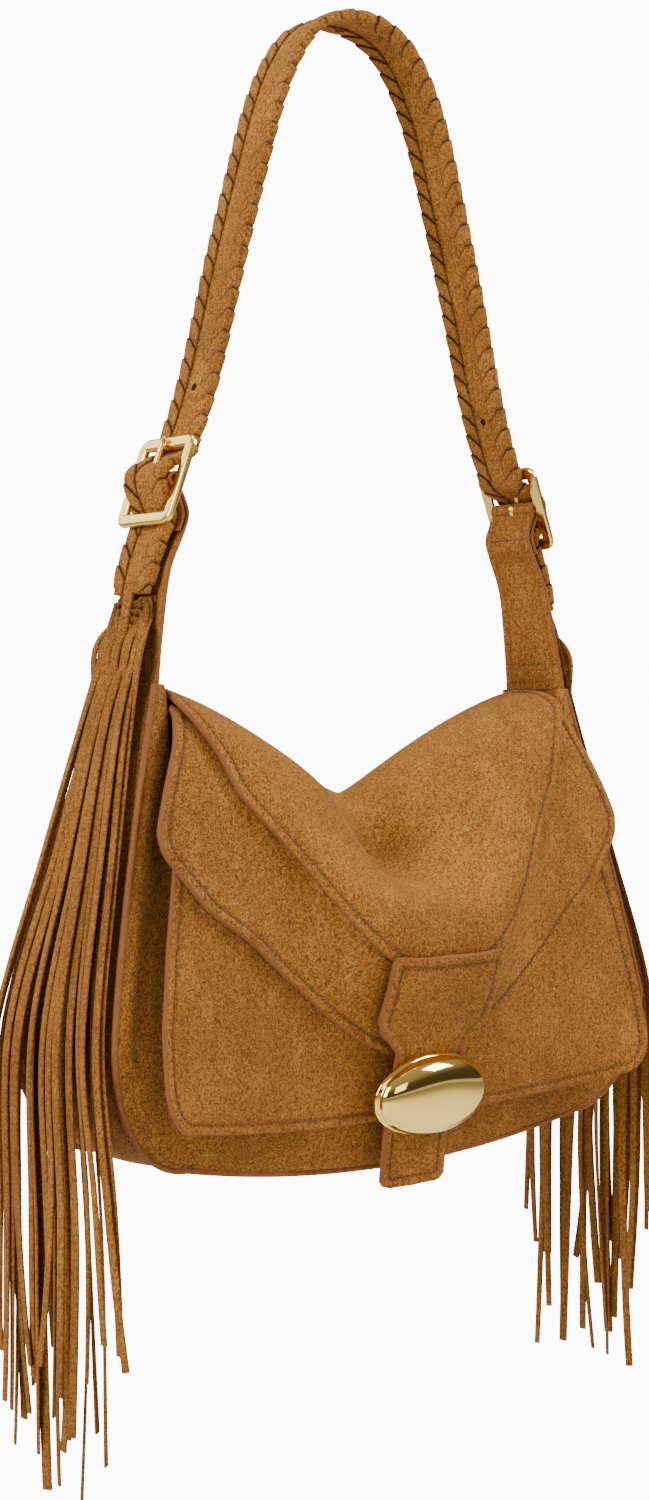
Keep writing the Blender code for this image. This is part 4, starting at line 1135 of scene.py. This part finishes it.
def build_spare_hole_shadows():
    """Painted shadow of a punched hole on each side of the bag: a dark dish of four rings on both faces of the
    strap, which is not pierced.
    """
    points = []
    faces = []
    angle = full_turn(20)
    index = int(np.argmin(np.abs(strap_line[:, 2] - spare_hole_height)))
    distance = strap_run[index]
    for side in (-1, 1):
        for face in (-1, 1):
            lift = face * (strap_thickness / 2)
            centre, out = on_strap(np.array([distance]), np.array([lift]))
            along = on_strap(np.array([distance + 1 * mm]), np.array([lift]))[0] - centre
            along = unit(along)
            rings = []
            for radius, rise in ((1.18, 0.02), (1.1, 0.10), (0.92, 0.08), (0.8, 0.04)):
                rings.append(centre + along * (np.cos(angle) * radius * spare_hole_radius)[:, None]
                             + backward * (np.sin(angle) * radius * spare_hole_radius)[:, None]
                             + out * (face * rise * mm))
            start = sum(len(block) for block in points)
            points.append(np.concatenate(rings) * (side, 1, 1))
            faces += tube_faces(4, 20, start)
    return piece("painted_hole_shadows", np.concatenate(points), faces, hole_shadow_paint)


def build_buckle(word, side):
    """Bevelled frame carried round a rounded rectangle, with a round bar across its middle."""
    path, away = ring_path((buckle_width + 1.2 * mm - bar_width) / 2, bar_reach + 0.8 * mm, 2.8 * mm, 5)
    section = np.array([(0.5, 0.16), (0.48, 0.26), (0.34, 0.47), (0.28, 0.52), (-0.28, 0.52), (-0.34, 0.47),
                        (-0.48, 0.26), (-0.5, 0.16), (-0.5, -0.3), (-0.4, -0.5), (0.4, -0.5), (0.5, -0.3)])
    spread = path[:, None] + away[:, None] * (section[None, :, 0:1] * bar_broad)
    deep = section[None, :, 1] * bar_depth + 0 * spread[..., 0]
    points = (frame_centre + frame_up * spread[..., 1:2] + frame_out * deep[..., None]
              + backward * spread[..., 0:1])
    faces = tube_faces(len(path), len(section), 0, True)
    angle = full_turn(18)
    ring = (frame_up * np.sin(angle)[:, None] * centre_bar_radius
            + frame_out * np.cos(angle)[:, None] * centre_bar_radius)
    reach = (buckle_width - bar_width) / 2
    bar = frame_centre + ring[None] + backward * np.linspace(-reach, reach, 6)[:, None, None]
    faces += tube_faces(6, 18, points.shape[0] * points.shape[1])
    points = np.concatenate([points.reshape(-1, 3), bar.reshape(-1, 3)]) * (side, 1, 1)
    return piece(word + "_buckle", points, faces, buckle_gold, sharp=38)


def build_prong(word, side):
    """Prong: hooks round the centre bar, then runs straight to the top bar and ends in a soft tip."""
    ring = centre_bar_radius + touch_gap + prong_radius
    angles = np.radians(np.linspace(110, 350, 26))
    hook = [on_frame(ring * math.sin(a), ring * math.cos(a)) for a in angles]
    rest = bar_depth / 2 + touch_gap + prong_radius
    shank = [on_frame(along, rest) for along in np.linspace(3 * mm, bar_reach + 3.2 * mm, 22)]
    path = np.array(hook + shank)
    along = unit(np.gradient(path, axis=0))
    outward = xyz(along[:, 2], 0, -along[:, 0])
    size = np.full(len(path), 1.25 * prong_radius)
    size[-4:] *= (0.95, 0.86, 0.66, 0.3)
    angle = full_turn(16)
    section = np.stack([np.cos(angle), np.sin(angle)], -1)[None] * size[:, None, None]
    sides = np.tile(backward, (len(path), 1))
    points = swept(path, outward, sides, section) * (side, 1, 1)
    return piece(word + "_prong_rod", points, tube_faces(len(path), 16), buckle_gold)


def tab_route():
    """Middle line of the right tab: up from the shoulder inside the strap, over the bar and down outside it."""
    outside = behind_bar - laced_half - tab_leather / 2 - 2.5 * touch_gap
    inside = outside - tab_leather - 2 * touch_gap
    route = [np.array([tab_base_x, 0, bag_top + 0.4 * mm]), np.array([tab_middle[0], 0, tab_middle[1]]),
             np.array([tab_upper[0], 0, tab_upper[1]]), on_frame(-tab_turn_down, inside - 0.2 * mm),
             on_frame(-bar_reach + 6 * mm, inside), on_frame(-7.0 * mm, -7.8 * mm)]
    for degrees in (215, 175, 130, 85, 40, -5, -50):
        angle = math.radians(degrees)
        route.append(on_frame(loop_radius * math.sin(angle), loop_radius * math.cos(angle)))
    route.append(on_frame(-7.5 * mm, -4.6 * mm))
    route.append(on_frame(-bar_reach + 5 * mm, outside + 0.3 * mm))
    route.append(on_frame(-tab_turn_down, outside))
    return np.array(route)


def build_tab(word, side):
    """Tapered tab, half depth falling to the power 0.8 of the rise, folded over the bar."""
    route = tab_route()
    line = smooth_line(route, np.linspace(0, len(route) - 1, 190))
    along = unit(np.gradient(line, axis=0))
    rise = xyz(-along[:, 2], 0, along[:, 0]) * (tab_leather / 2)
    taper = np.clip((line[:, 2] - bag_top) / (buckle_centre_height - bag_top), 0, 1)
    half = tab_base_half_depth + (tab_top_half_depth - tab_base_half_depth) * taper ** 0.8
    share = crowded(33)
    middle = line[:, None] + backward * (half[:, None] * share[None])[..., None]
    outer = (middle + rise[:, None]) * (side, 1, 1)
    inner = (middle - rise[:, None]) * (side, 1, 1)
    made = slab(word + "_tab_leather", outer, inner, tan)
    seams = []
    across = np.linspace(-1, 1, 30)[:, None]
    near_fold = int(np.argmin(np.abs(line[:80, 2] - (buckle_centre_height - 0.75 * tab_turn_down))))
    for spot in (8, near_fold):
        path = line[spot] + rise[spot] * 1.03 + backward * across * (half[spot] - 2.2 * mm)
        seams.append((path * (side, 1, 1), np.tile(rise[spot] * (side, 1, 1), (30, 1))))
    return made, stitches(word + "_tab_seam", seams)


# Fringe

def strand_route(layer, share, chance):
    """Middle line of a strand: out over the gusset's shoulder, then straight down to its tip."""
    end_depth = -fringe_front + (fringe_back + fringe_front) * share + chance.uniform(-3.8, 3.8) * mm
    end_depth = min(max(end_depth, -fringe_front), fringe_back - 5 * mm)
    tip = longest_tip + layer_shortfall[layer] + chance.uniform(0, 34) * mm
    tip += 70 * mm * max(0.0, abs(2 * share - 1) - 0.7) / 0.3
    sway = chance.uniform(-4.5, 4.5) * mm
    out = layer * layer_pitch + chance.uniform(-1.7, 1.7) * mm
    heights = np.array([fringe_root_height - fringe_head_height, fringe_shoulder_height, 225 * mm, 160 * mm,
                        fringe_rest_height, (fringe_rest_height + tip) / 2, tip])
    fall = np.minimum(1, (fringe_root_height - heights) / (fringe_root_height - 50 * mm))
    slide = np.minimum(1, (fringe_root_height - heights) / (fringe_root_height - fringe_rest_height))
    root_x = head_x(layer, heights[0])
    below = np.clip((fringe_rest_height - heights) / (fringe_rest_height - longest_tip), 0, None)
    billow = np.exp(-((heights - fringe_shoulder_height) / (15 * mm)) ** 2)
    x = root_x + (fringe_rest_x + out - root_x) * slide ** 0.88 - 4 * mm * below + 4.0 * mm * billow
    depth = end_depth * (0.20 + 0.80 * fall ** 1.3) + sway * below + 7.5 * mm * (2 * share - 1) * billow
    depth += chance.uniform(-3.0, 3.0) * mm * np.sin(np.pi * fall)
    return xyz(x, depth, heights)


def build_fringe(word, side, layer):
    """One layer of fringe: strips of rounded section that start side by side, billow, fan out, turn and curl.

    A strand's point is line + width way * a + thick way * b, for each (a, b) of the section.
    """
    chance = random.Random(20 + layer + (0 if side > 0 else 10))
    head_half = strap_width / 2 - 1 * mm
    cell = 2 * head_half / strands_per_layer
    section = rounded_bar(1.0, 1.0, 0.3, 2)
    points = []
    faces = []
    reach = []
    shade = []
    leather = 0.0
    longest = 0.0
    for number in range(strands_per_layer):
        share = (number + layer / layers_per_side) / (strands_per_layer - 1 / layers_per_side)
        path = strand_route(layer, share, chance)
        start = -head_half + (number + 0.5) * cell
        if layer == 0:
            head = [(head_x(layer, height), start, height)
                    for height in (fringe_root_height, fringe_root_height - fringe_head_height)]
            path = np.concatenate([head, path[1:]])
        else:
            way = 1 if start > 0 else -1
            root = fringe_root_height - (head_half - abs(start)) * tongue_spread - (layer - 1) * 2 * mm
            beside = way * 1.2 * mm
            wide_start = start * 1.12 + way * 0.5 * mm
            root_x = head_x(layer, root)
            head = [(root_x + 0.4 * mm, beside, root - 1.5 * mm),
                    (root_x + 1.5 * mm, beside + 0.62 * (wide_start - beside), root),
                    (root_x + 2.3 * mm, wide_start, root - 7 * mm)]
            path = np.concatenate([head, path[2:]])
        t = np.linspace(0, len(path) - 1, 84)
        line = smooth_line(path, t)
        down = t / t[-1]
        turn = (chance.uniform(-0.4, 0.4) - 0.3 * side) * down ** 1.5
        turn = turn + chance.uniform(-0.45, 0.45) * np.clip(down - 0.75, 0, 1) * 4
        bend = np.clip(down - 0.80, 0, 1) / 0.20
        line[:, 0] += min(max(chance.uniform(-1.3, 1.0), -0.4), 1.0) * 5.0 * mm * bend ** 2
        line[:, 1] += chance.choice((-1, 1)) * chance.uniform(0.0, 1.0) ** 2.5 * 17 * mm * bend ** 1.8
        line[:, 1] += chance.uniform(0.4, 1.5) * mm * np.sin(down * 11 + number * 1.7) * down
        wide = strand_width * chance.uniform(0.80, 1.08) * np.clip(0.58 + 0.6 * down, 0, 1) * (1 - 0.12 * bend ** 3)
        along = unit(np.gradient(line, axis=0))
        across = unit(backward - along * along[:, 1:2])
        out = np.cross(across, along)
        width_way = across * np.cos(turn)[:, None] + out * np.sin(turn)[:, None]
        thick_way = out * np.cos(turn)[:, None] - across * np.sin(turn)[:, None]
        ring = section[None] * np.stack([wide, np.full(len(wide), fringe_leather)], -1)[:, None]
        block = swept(line, width_way, thick_way, ring) * (side, 1, 1)
        faces += tube_faces(len(line), len(section), sum(len(part) for part in points))
        points.append(block.reshape(-1, 3))
        cut = np.abs(section[:, 0]) > 0.45
        reach.append(np.tile(np.where(cut, 0.6, 3.0) * mm, len(line)))
        # Random darker tone for each strand, plus painted shade in a band at the roots under the tongue; the cut
        # sides are a tenth darker
        tone_and_root_shade = chance.uniform(0.0, 0.22) + 0.35 * np.exp(-((line[:, 2] - 276 * mm) / (7 * mm)) ** 2)
        shade.append((tone_and_root_shade[:, None] + np.where(cut, 0.10, 0.0)[None]).ravel())
        steps = np.linalg.norm(np.diff(line, axis=0), axis=1)
        leather += float((steps * (wide[1:] + fringe_leather)).sum())
        longest = max(longest, float(steps.sum()))
    made = piece(word + "_fringe_layer_" + str(layer + 1), np.concatenate(points), faces, tan,
                 np.concatenate(reach), tone_and_painted_shade=np.concatenate(shade))
    return made


# Put together

def settle(made, body, node=None):
    """Hang a mesh under its body's empty and, where there is one, hide the solid that it stands for."""
    if node:
        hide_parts(node)
    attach(made, body)


def settle_sewn(leather, sewing, body, node=None):
    """Settle a piece of leather together with its stitches."""
    settle(leather, body, node)
    settle(sewing, body)


def seam_rows(face, columns, rows):
    """Columns of a grid as seam paths with their normals."""
    normals = grid_normals(face)
    middle = face.reshape(-1, 3).mean(0)
    found = []
    for column in columns:
        path = face[rows, column]
        normal = normals[rows, column]
        if (normal * (path - middle)).sum() < 0:
            normal = -normal
        found.append((path, normal))
    return found


front_shell, front_face = build_front_panel()
back_shell, back_face = build_back_panel()
gusset_band, gusset_face = build_gusset()
settle(front_shell, "bag", "front_panel")
settle(back_shell, "bag", "back_panel")
settle(gusset_band, "bag", "gusset")
settle(build_piping("front_piping_cord", -1), "bag", "front_piping")
settle(build_piping("back_piping_cord", 1), "bag", "back_piping")

body_seams = seam_rows(front_face, (7, 103), slice(2, 92)) + seam_rows(back_face, (7, 103), slice(20, 104))
body_seams += seam_rows(gusset_face, (2, 30), slice(2, -2))
settle(stitches("body_seam", body_seams), "bag")

# Flap: its centre layer bends over the crest, between the bag and the flap
centre_layer, centre_stitches = build_centre()
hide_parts("flap_centre")
for made in (centre_layer, centre_stitches):
    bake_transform(made)
for side, word in sides_and_words:
    settle_sewn(*build_wing(word, side), "flap", word + "_wing")
settle_sewn(*build_lower_flap(), "flap", "flap_lower")
settle_sewn(*build_closure_tab(), "flap", "closure_tab")
settle(build_clasp(), "flap", "clasp_dome")

# Strap
settle_sewn(*build_strap(), "bag", "shoulder_strap")
settle(build_spare_hole_shadows(), "bag")
settle_sewn(*build_tongues(), "bag")
settle(build_lacing("front_lace_leaves", -1), "bag", "front_lacing")
settle(build_lacing("back_lace_leaves", 1), "bag", "back_lacing")

for side, word in sides_and_words:
    settle(build_buckle(word, side), "bag", word + "_buckle_frame")
    settle(build_prong(word, side), "bag", word + "_prong")
    settle_sewn(*build_tab(word, side), "bag", word + "_tab")
    for layer in range(layers_per_side):
        settle(build_fringe(word, side, layer), "bag", word + "_fringe_" + str(layer + 1))

for node in ("clasp_magnet", "clasp_plate"):
    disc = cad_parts[node]
    disc.data.materials.clear()
    disc.data.materials.append(steel)


# Studio

def build_floor():
    """A pale disc well under the hanging bag."""
    radius = np.array([0.0, 1.0, 3.0, 6.0, 9.0])[:, None]
    angle = full_turn(64)[None]
    height = hang_height - 1.02
    points = xyz(radius * np.cos(angle), radius * np.sin(angle), height)[1:]
    points = np.concatenate([points.reshape(-1, 3), [[0, 0, height]]])
    faces = grid_faces(4, 64, 0, False, True).tolist()
    centre = 4 * 64
    faces += [[centre, step, (step + 1) % 64] for step in range(64)]
    mesh = bpy.data.meshes.new("studio_floor")
    mesh.from_pydata((points - (0, 0, hang_height)).tolist(), [], faces)
    mesh.materials.append(floor_finish())
    floor = bpy.data.objects.new("studio_floor", mesh)
    bpy.context.scene.collection.objects.link(floor)


def soft_light(name, spot, target, size, power):
    """A large square light that looks at a target."""
    data = bpy.data.lights.new(name, "AREA")
    data.shape = "RECTANGLE"
    data.size, data.size_y = size
    data.energy = power
    lamp = bpy.data.objects.new(name, data)
    bpy.context.scene.collection.objects.link(lamp)
    way = np.array(target) - np.array(spot)
    lamp.location = spot
    lamp.rotation_euler = Vector(way).to_track_quat("-Z", "Y").to_euler()


build_floor()
soft_light("key_light", (1.02, -0.91, 0.73), (0, 0, -0.30), (0.7, 0.7), 33)
soft_light("front_light", (-0.48, -1.8, 0.16), (0, 0, -0.45), (0.9, 0.72), 6)
soft_light("left_light", (-1.75, -0.34, 0.40), (0, 0, -0.35), (0.8, 1.3), 42)
soft_light("back_light", (-0.75, 1.6, 0.60), (0, 0, -0.30), (1.5, 1.5), 18)
soft_light("top_light", (0.1, 0.0, 1.4), (0, 0, -0.3), (0.9, 0.9), 16)

# The room lights the bag by a soft grey band of heights, and the camera sees an even backdrop
world = bpy.data.worlds.new("studio")
bpy.context.scene.world = world
world.use_nodes = True
sky = world.node_tree
backdrop = sky.nodes["Background"]
backdrop.inputs["Color"].default_value = (1.0, 1.0, 1.0, 1.0)
backdrop.inputs["Strength"].default_value = backdrop_strength
room = sky.nodes.new("ShaderNodeBackground")
seen = sky.nodes.new("ShaderNodeLightPath")
split = sky.nodes.new("ShaderNodeMixShader")
way_in = sky.nodes.new("ShaderNodeTexCoord")
apart = sky.nodes.new("ShaderNodeSeparateXYZ")
band = sky.nodes.new("ShaderNodeValToRGB")
stops = band.color_ramp.elements
stops[0].color = (0.8, 0.8, 0.8, 1)
stops[1].color = (0.55, 0.55, 0.55, 1)
for place, grey in ((0.04, 0.07), (0.35, 0.10), (0.55, 0.40)):
    stop = stops.new(place)
    stop.color = (grey, grey, grey, 1)
room.inputs["Strength"].default_value = 0.8
for source, socket in ((way_in.outputs["Generated"], apart.inputs[0]), (apart.outputs["Z"], band.inputs[0]),
                       (band.outputs[0], room.inputs["Color"]), (seen.outputs["Is Camera Ray"], split.inputs[0]),
                       (room.outputs[0], split.inputs[1]), (backdrop.outputs[0], split.inputs[2]),
                       (split.outputs[0], sky.nodes["World Output"].inputs["Surface"])):
    sky.links.new(source, socket)

# Camera: 40 degrees to the left of the front, looking down by less than a degree
view_azimuth = math.radians(-40)
view_pitch = math.radians(0.8)
camera_data = bpy.data.cameras.new("photo_camera")
camera_data.sensor_fit = "VERTICAL"
camera_data.sensor_height = 36
camera_data.lens = 54.67
camera_data.clip_end = 50
camera = bpy.data.objects.new("photo_camera", camera_data)
bpy.context.scene.collection.objects.link(camera)
camera.location = (-0.7536, -0.8794, 0.2247 - hang_height)
camera.rotation_euler = (math.pi / 2 - view_pitch, 0.0, view_azimuth)
bpy.context.scene.camera = camera
